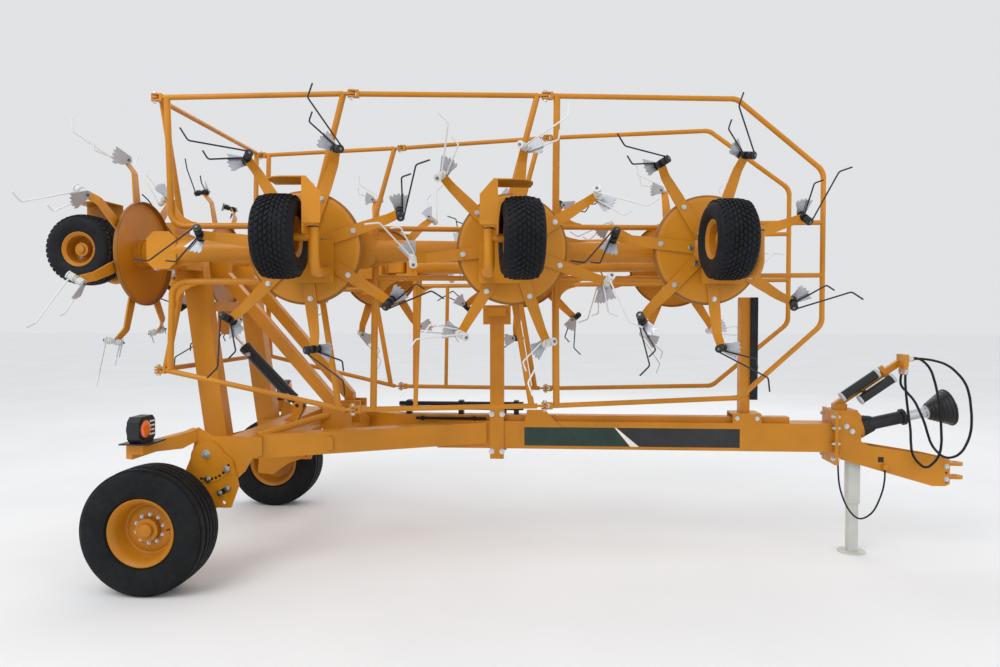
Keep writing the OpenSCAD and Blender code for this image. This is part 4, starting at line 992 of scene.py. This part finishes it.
@dataclass
class ChassisFittings:
    """Bolts, black pieces of painted shade where plates are pierced, and other small pieces on the chassis."""

    arm_y: float = 0.818
    sector_centre: tuple[float, float] = (0.245, 0.800)
    sector_head: tuple[float, float] = (0.245, 0.778)
    sector_r: float = 0.178
    head_r: float = 0.108
    hole_circle: float = 0.157
    sector_t: float = 0.0055
    link: tuple[tuple[float, float], ...] = ((0.310, 0.545), (0.326, 0.533), (0.398, 0.573), (0.402, 0.590),
                                             (0.386, 0.604), (0.314, 0.565))
    tongue_bolts: tuple[tuple[float, float], ...] = ((4.56, 0.92), (4.60, 0.885), (5.245, 0.555),
                                                     (5.245, 0.645))
    # Centres where the tongue is pierced; each is drawn as a black disc of painted shade.
    tongue_holes: tuple[tuple[float, float], ...] = ((5.245, 0.600), (5.245, 0.535))
    flange_bolts: tuple[float, ...] = (0.69, 0.80, 0.91, 0.99)

    def bracket_bolts(self, finishes: Finishes) -> None:
        """Builds each wheel bracket's sector plate, link, pivot bolt and clamp bolts, and black painted-shade
        discs where pierced.
        """
        outline = [polar(self.head_r, a, self.sector_head) for a in range(10, 191, 12)]
        outline += [polar(self.sector_r, a, self.sector_centre) for a in range(238, 343, 8)]
        face = -self.arm_y - 0.0054
        for side in Side:
            bolts, hole_shades, sector, link = Draft(), Draft(), Draft(), Draft()
            here = side.mirror @ AXLE_FRAME
            stand = here @ shift(0, -self.arm_y + 0.0003, 0) @ rotate(90, "X")
            sector.prism(outline, self.sector_t, stand)
            sector.piece(f"bracket_sector_{side.word}", finishes.paint, "chassis", Slot.PAINT, bevel=0.001)
            bolts.bolt((0.240, face, 0.808), (0, -1, 0), 0.044, here, stand=0.008)
            for angle in (-34, -88):
                x, z = polar(self.hole_circle, angle, self.sector_centre)
                bolts.bolt((x, face, z), (0, -1, 0), 0.034, here, stand=0.006)
            # Each open hole of the sector plate is a thin black disc on its face: painted shade, not a cut.
            for angle in (-104, -96, -78, -68, -58, -46, -24):
                x, z = polar(self.hole_circle, angle, self.sector_centre)
                hole_shades.turned([(0.0095, 0.0), (0.0095, 0.0008)], 20, stand @ shift(x, z, 0.0052))
            link.prism(self.link, 0.007, stand)
            link.piece(f"bracket_link_{side.word}", finishes.black, "chassis", Slot.BLACK, bevel=0.001)
            for x, z in ((0.380, 0.586), (0.328, 0.555)):
                bolts.bolt((x, -self.arm_y - 0.0066, z), (0, -1, 0), 0.030, here, stand=0.006)
            bolts.piece(f"bracket_bolts_{side.word}", finishes.bolt, "chassis", Slot.STEEL)
            hole_shades.piece(f"bracket_holes_{side.word}", finishes.plastic, "chassis", Slot.BLACK)

    def hitch_bolts(self, finishes: Finishes) -> None:
        """Builds the bolts of the tongue, its clevis and the flange, and black painted-shade pieces where the
        tongue is pierced.
        """
        draft, slots = Draft(), Draft()
        for sign in (-1, 1):
            for x, z in self.tongue_bolts:
                draft.bolt((x, sign * 0.092, z), (0, sign, 0), 0.030, AXLE_FRAME)
            for z in self.flange_bolts:
                draft.bolt((4.470, sign * 0.112, z), (-1, 0, 0), 0.030, AXLE_FRAME, stand=0.006)
                draft.bolt((4.492, sign * 0.112, z), (1, 0, 0), 0.030, AXLE_FRAME)
            # The tongue's slot and each place where it is pierced get a thin black piece on the face: painted
            # shade, not a cut.
            low, high = sorted((sign * 0.0918, sign * 0.0926))
            slots.box((4.778, low, 0.668), (4.818, high, 0.706), AXLE_FRAME)
            for x, z in self.tongue_holes:
                hole = AXLE_FRAME @ shift(x, sign * 0.0918, z) @ rotate(-90 * sign, "X")
                slots.turned([(0.008, 0.0), (0.008, 0.0008)], 18, hole)
        draft.piece("hitch_bolts", finishes.bolt, "chassis", Slot.STEEL)
        slots.piece("hitch_slots", finishes.plastic, "chassis", Slot.BLACK)

    def tilt_pin_caps(self, finishes: Finishes) -> None:
        """Builds the nuts on the tilting frame's pins."""
        for side in Side:
            draft = Draft()
            here = side.mirror @ AXLE_FRAME
            for sign in (-1, 1):
                draft.bolt((0.170, -0.450 + sign * 0.094, 0.800), (0, sign, 0), 0.046, here)
            draft.piece(f"tilt_pin_nuts_{side.word}", finishes.bolt, "chassis", Slot.STEEL)

    def post_bolts(self, finishes: Finishes) -> None:
        """Builds the nuts of the middle rest's clamp, and the bolts of the pad and the front rest's saddle."""
        draft = Draft()
        for x in (2.042, 2.118):
            for z in (0.715, 0.987):
                draft.bolt((x, -0.1062, z), (0, -1, 0), 0.032, AXLE_FRAME)
                draft.bolt((x, 0.1022, z), (0, 1, 0), 0.032, AXLE_FRAME)
        for z in (1.18, 1.47, 1.76):
            draft.bolt((3.9502, 0, z), (1, 0, 0), 0.030, AXLE_FRAME)
        for x in (3.80, 3.94):
            for sign in (-1, 1):
                draft.bolt((x, sign * 0.0902, 0.97), (0, sign, 0), 0.026, AXLE_FRAME)
        draft.piece("post_bolts", finishes.bolt, "chassis", Slot.STEEL)

    def cylinder_fittings(self, finishes: Finishes) -> None:
        """Builds the gland, the weld ring and the two ports of the lifting cylinder."""
        low, high = Vector((0.575, 0, 1.030)), Vector((0.030, 0, 1.600))
        here = Matrix.Translation(at_axle(*low)) @ upright(high - low)
        gland = Draft()
        gland.revolve([(0.0245, 0.570), (0.0475, 0.570), (0.0475, 0.604), (0.044, 0.609),
                       (0.0245, 0.609)][::-1], 48, here)
        gland.revolve([(0.0435, 0.060), (0.0462, 0.062), (0.0462, 0.078), (0.0435, 0.080)][::-1], 48, here)
        gland.piece("cylinder_gland", finishes.black, "cylinder_barrel", Slot.BLACK)
        ports = Draft()
        for z in (0.105, 0.530):
            out = here @ shift(0, -0.040, z) @ rotate(90, "X")
            ports.turned([(0.016, 0.0), (0.016, 0.014), (0.011, 0.014), (0.011, 0.026), (0.014, 0.026),
                          (0.014, 0.040)], 20, out)
        ports.piece("cylinder_ports", finishes.steel, "cylinder_barrel", Slot.STEEL)

    def build(self, finishes: Finishes) -> None:
        """Builds all the fittings."""
        self.bracket_bolts(finishes)
        self.hitch_bolts(finishes)
        self.tilt_pin_caps(finishes)
        self.post_bolts(finishes)
        self.cylinder_fittings(finishes)


@dataclass
class Lamps:
    """Road lamps on their arms: lenses front and rear, foot plates and lamp clusters."""

    x_range: tuple[float, float] = (-0.015, 0.059)
    lens_y: float = -1.230
    lens_z: float = 1.032
    lens_r: float = 0.052
    bead_rows: int = 4
    bead_columns: int = 3
    first_bead: tuple[float, float] = (-1.166, 0.992)
    bead_step: tuple[float, float] = (0.019, 0.026)

    def build(self, finishes: Finishes) -> None:
        """Builds both lamps' dress."""
        lenses, plates, beads = Draft(), Draft(), Draft()
        for side in Side:
            here = side.mirror @ AXLE_FRAME
            for x, way in ((self.x_range[1], 1), (self.x_range[0], -1)):
                out = rotate(90 * way, "Y")
                place = here @ shift(x, self.lens_y, self.lens_z) @ out
                r = self.lens_r
                lenses.turned([(r, SEAT), (r, 0.009), (r - 0.004, 0.0125), (r - 0.018, 0.0165),
                               (0.012, 0.0185)], 48, place)
                plates.revolve([(r + 0.0004, SEAT), (r + 0.007, SEAT), (r + 0.007, 0.005),
                                (r + 0.003, 0.008), (r + 0.0004, 0.008)][::-1], 48, place)
                for row in range(self.bead_rows):
                    for column in range(self.bead_columns):
                        y = self.first_bead[0] + self.bead_step[0] * column
                        z = self.first_bead[1] + self.bead_step[1] * row
                        beads.turned([(0.0065, 0.0), (0.0065, 0.002), (0.004, 0.0042)], 14,
                                     here @ shift(x + way * SEAT, y, z) @ out)
            plates.box((-0.070, -1.286, 0.9415), (0.112, -1.084, 0.9498), here)
        lenses.piece("lamp_lens_domes", finishes.lens, "chassis", Slot.LENS, replaces=("lamp_lenses",))
        plates.piece("lamp_bezels", finishes.plastic, "chassis", Slot.PLASTIC, bevel=0.0008)
        beads.piece("lamp_beads", finishes.clear, "chassis", Slot.LENS)


@dataclass
class DriveDress:
    """Ribs of the drive shaft's guards, end caps of the document tubes and fittings of the hose rack."""

    shaft: tuple[Point, Point] = ((4.684, 0.0, 0.910), (5.300, 0.0, 1.052))
    bar: tuple[Point, Point] = ((4.500, -0.0923, 1.056), (4.950, -0.0923, 1.375))
    # Each tube's two ends along the bar, and its height over the bar's middle
    tubes: tuple[tuple[float, float, float], ...] = ((0.060, 0.360, 0.045), (0.150, 0.430, -0.045))
    outlets: tuple[Point, ...] = ((4.966, -0.060, 1.400), (4.966, -0.110, 1.400))
    sockets: tuple[Point, ...] = ((4.950, -0.110, 1.294), (4.950, -0.050, 1.294))

    def ring(self, draft: Draft, z: float, radius: float, width: float, high: float, place: Matrix) -> None:
        """Adds a rounded rib round an axis."""
        foot, top = radius - 0.003, radius + high
        draft.revolve([(foot, z), (top, z + width * 0.25), (top, z + width * 0.75), (foot, z + width)][::-1],
                      48, place)

    def along(self, start: Point, end: Point) -> Matrix:
        """Gives the frame at a point, with Z to another point at the same Y."""
        slope = math.atan2(end[2] - start[2], end[0] - start[0])
        return Matrix.Translation(at_axle(*start)) @ Matrix.Rotation(math.pi / 2 - slope, 4, "Y")

    def guard_ribs(self, finishes: Finishes) -> None:
        """Builds the ribs of the bellows, the tube and the cone."""
        here = self.along(*self.shaft)
        ribs = Draft()
        for z in (0.004, 0.022, 0.040, 0.058, 0.076):
            self.ring(ribs, z, 0.080 - 0.028 * (z + 0.005) / 0.095, 0.009, 0.003, here)
        for z in (0.296, 0.310):
            self.ring(ribs, z, 0.056, 0.007, 0.0025, here)
        for k in range(6):
            z = 0.488 + 0.022 * k
            self.ring(ribs, z, 0.055 + 0.5 * (z + 0.004 - 0.480), 0.008, 0.003, here)
        self.ring(ribs, 0.618, 0.128, 0.011, 0.004, here)
        ribs.piece("guard_ribs", finishes.plastic, "chassis", Slot.PLASTIC)

    def tube_caps(self, finishes: Finishes) -> None:
        """Builds the end caps of the document tubes."""
        here = self.along(*self.bar)
        caps = Draft()
        for first, last, up in self.tubes:
            caps.turned([(0.030, -0.004), (0.0345, -0.002), (0.0345, 0.012), (0.030, 0.013)], 32,
                        here @ shift(-up, 0, first))
            caps.turned([(0.0345, -0.016), (0.0345, 0.002), (0.030, 0.005)], 32, here @ shift(-up, 0, last))
        caps.piece("tube_caps", finishes.grey_tube, "chassis", Slot.PLASTIC)

    def hose_fittings(self, finishes: Finishes) -> None:
        """Builds the unions on the rack's outlets and sockets."""
        fittings = Draft()
        for point in self.outlets:
            place = AXLE_FRAME @ shift(*point) @ rotate(90, "Y")
            fittings.prism(hexagon(0.0205), 0.016, place)
            fittings.turned([(0.0165, 0.016), (0.0165, 0.028), (0.013, 0.033)], 24, place)
        for point in self.sockets:
            place = AXLE_FRAME @ shift(*point)
            fittings.turned([(0.0150, -0.002), (0.0178, 0.002), (0.0178, 0.014)], 24, place)
            fittings.prism(hexagon(0.0215), 0.016, place @ shift(0, 0, 0.016))
        fittings.piece("hose_fittings", finishes.steel, "chassis", Slot.STEEL)

    def build(self, finishes: Finishes) -> None:
        """Builds the ribs, caps and fittings."""
        self.guard_ribs(finishes)
        self.tube_caps(finishes)
        self.hose_fittings(finishes)


@dataclass
class JointPins:
    """Caps of the fold pins and bolts of the guard joints."""

    plan: RowPlan

    def build(self, finishes: Finishes) -> None:
        """Builds them on the body that carries each pin."""
        for side in Side:
            for index in range(3):
                here = self.plan.section(index, side)
                body = self.plan.carrier(index + 1, side)
                draft = Draft()
                for sign in (-1, 1):
                    draft.turned([(0.013, 0.0), (0.022, 0.0), (0.022, 0.006), (0.018, 0.009)], 28,
                                 here @ shift(0, 0, sign * 0.1152) @ rotate(0 if sign > 0 else 180, "X"))
                    for z in (self.plan.guard_top[index], self.plan.guard_low[index]):
                        draft.bolt((0, 0, z + sign * 0.0229), (0, 0, sign), 0.027, here)
                draft.piece(f"pins_{body}_{index}_{side.word}", finishes.bolt, body, Slot.STEEL)


@dataclass(frozen=True)
class Cord:
    """A free hose or cable between two fittings; its route is in millimetres of the axle's frame."""

    node: str
    diameter: float
    stiffness: str
    steps: int
    route: tuple[tuple[float, float, float], ...]

    def line(self, steps: int) -> list[Vector]:
        """Smoothed middle line.

        Args:
            steps: Points for each span of the route.

        Returns:
            The points in the object's frame.
        """
        p = [Vector(q) for q in self.route]
        p = [p[0] * 2 - p[1]] + p + [p[-1] * 2 - p[-2]]
        line = []
        for k in range(1, len(p) - 2):
            for i in range(steps):
                t = i / steps
                line.append(0.5 * (2 * p[k] + t * (p[k + 1] - p[k - 1])
                                   + t * t * (2 * p[k - 1] - 5 * p[k] + 4 * p[k + 1] - p[k + 2])
                                   + t ** 3 * (3 * p[k] - p[k - 1] - 3 * p[k + 1] + p[k + 2])))
        line.append(p[-2])
        return [at_axle(*(q / 1000)) for q in line]

    def build(self, finishes: Finishes) -> None:
        data = bpy.data.curves.new(f"cord_{self.node}", "CURVE")
        data.dimensions = "3D"
        data.bevel_depth = self.diameter / 2
        data.bevel_resolution = 5
        data.resolution_u = 8
        data.use_fill_caps = True
        points = self.line(self.steps)
        spline = data.splines.new("BEZIER")
        spline.bezier_points.add(len(points) - 1)
        for knot, point in zip(spline.bezier_points, points):
            knot.co = point
            knot.handle_left_type = knot.handle_right_type = "AUTO"
        data.materials.append(finishes.hose)
        obj = bpy.data.objects.new(f"cord_{self.node}", data)
        bpy.context.scene.collection.objects.link(obj)
        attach(obj, "chassis")
        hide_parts(self.node)
        fine = self.line(24)
        length = sum((b - a).length for a, b in zip(fine, fine[1:]))
        LOG.info("%s: %.2f m long", obj.name, length)


CORDS = (
    Cord("hose_short", 0.017, "medium", 2, (
        (5000, -60, 1400), (5060, -60, 1400), (5130, -80, 1330), (5160, -130, 1150), (5175, -155, 900),
        (5160, -160, 740), (5075, -155, 650), (4990, -145, 740), (4980, -130, 900), (4960, -115, 1100),
        (4950, -110, 1230), (4950, -110, 1290))),
    Cord("hose_long", 0.017, "medium", 2, (
        (5000, -110, 1400), (5080, -110, 1400), (5220, -130, 1360), (5320, -170, 1240), (5350, -190, 1080),
        (5345, -200, 900), (5280, -200, 760), (5180, -195, 730), (5090, -195, 820), (5050, -180, 960),
        (5010, -110, 1110), (4950, -50, 1210), (4950, -50, 1290))),
    Cord("hose_cable", 0.012, "medium", 3, (
        (4500, -106, 700), (4500, -106, 620), (4515, -108, 480), (4570, -110, 340), (4650, -110, 270),
        (4740, -110, 320), (4800, -108, 450), (4820, -106, 550), (4820, -106, 620))),
)


# The studio


@dataclass
class Studio:
    """Camera at the photograph's viewpoint, pale floor and soft light."""

    focal_px: float = 741.1
    image_px: float = 1000.0
    yaw: float = 3.81
    pitch: float = 1.51
    eye: tuple[float, float, float] = (2.46, -5.47, 1.716)
    sensor: float = 36.0
    floor_half: float = 60.0

    def camera(self) -> None:
        """Makes the camera."""
        data = bpy.data.cameras.new("camera")
        data.sensor_width = self.sensor
        data.lens = self.sensor * self.focal_px / self.image_px
        data.clip_end = 200.0
        camera = bpy.data.objects.new("camera", data)
        camera.location = at_axle(*self.eye)
        camera.rotation_euler = (math.radians(90 - self.pitch), 0.0, math.radians(self.yaw))
        bpy.context.scene.collection.objects.link(camera)
        bpy.context.scene.camera = camera

    def floor(self) -> None:
        """Makes the pale floor."""
        mesh = bpy.data.meshes.new("floor")
        s = self.floor_half
        mesh.from_pydata([(-s, -s, 0), (s, -s, 0), (s, s, 0), (-s, s, 0)], [], [(0, 1, 2, 3)])
        floor = bpy.data.objects.new("floor", mesh)
        tree = ShaderTree("studio_floor")
        tree.feed("Base Color", tree.mix(tree.ramp(tree.noise(0.6), 0.3, 0.7), (0.80, 0.80, 0.795),
                                         (0.84, 0.84, 0.835)))
        tree.set(Roughness=0.9, Specular_IOR_Level=0.1)
        mesh.materials.append(tree.material)
        bpy.context.scene.collection.objects.link(floor)

    def light(self) -> None:
        """Makes the soft sky and three broad lamps: key, fill and rim."""
        world = bpy.data.worlds.new("studio_sky")
        bpy.context.scene.world = world
        world.use_nodes = True
        nodes, links = world.node_tree.nodes, world.node_tree.links
        back = nodes["Background"]
        back.inputs["Color"].default_value = (0.95, 0.97, 1.0, 1.0)
        back.inputs["Strength"].default_value = 0.92
        seen = nodes.new("ShaderNodeBackground")
        seen.inputs["Color"].default_value = (0.76, 0.765, 0.775, 1.0)
        seen.inputs["Strength"].default_value = 1.0
        path = nodes.new("ShaderNodeLightPath")
        mix = nodes.new("ShaderNodeMixShader")
        links.new(path.outputs["Is Camera Ray"], mix.inputs[0])
        links.new(back.outputs[0], mix.inputs[1])
        links.new(seen.outputs[0], mix.inputs[2])
        links.new(mix.outputs[0], nodes["World Output"].inputs["Surface"])
        for name, energy, size, place, target in (
                ("key_light", 330.0, 5.0, (-4.0, -6.5, 8.0), (0.0, 0.0, 1.2)),
                ("fill_light", 60.0, 6.0, (7.0, -5.0, 4.5), (1.0, 0.0, 1.2)),
                ("rim_light", 160.0, 6.0, (1.0, 8.0, 7.0), (0.0, 0.0, 1.5))):
            data = bpy.data.lights.new(name, "AREA")
            data.energy = energy
            data.size = size
            lamp = bpy.data.objects.new(name, data)
            lamp.location = place
            lamp.rotation_euler = (Vector(target) - Vector(place)).to_track_quat("-Z", "Y").to_euler()
            bpy.context.scene.collection.objects.link(lamp)
        bpy.context.scene.view_settings.view_transform = "Standard"

    def build(self) -> None:
        """Builds floor and light; the camera is made first, on its own."""
        self.floor()
        self.light()


def main() -> None:
    """Builds the dressed machine."""
    logging.basicConfig(level=logging.INFO, format="%(name)s: %(message)s")
    studio = Studio()
    studio.camera()
    finishes = Finishes()
    for cord in CORDS:
        cord.build(finishes)
    finishes.dress_nodes()
    plan = RowPlan()
    for side in Side:
        for number in range(1, 5):
            Rotor(plan, number, side).build(finishes)
            RotorWheel(plan, number, side).build(finishes)
        RoadWheel(side).build(finishes)
    BeamBand().build(finishes)
    ChassisFittings().build(finishes)
    Lamps().build(finishes)
    DriveDress().build(finishes)
    JointPins(plan).build(finishes)
    studio.build()


if __name__ == "__main__":
    main()
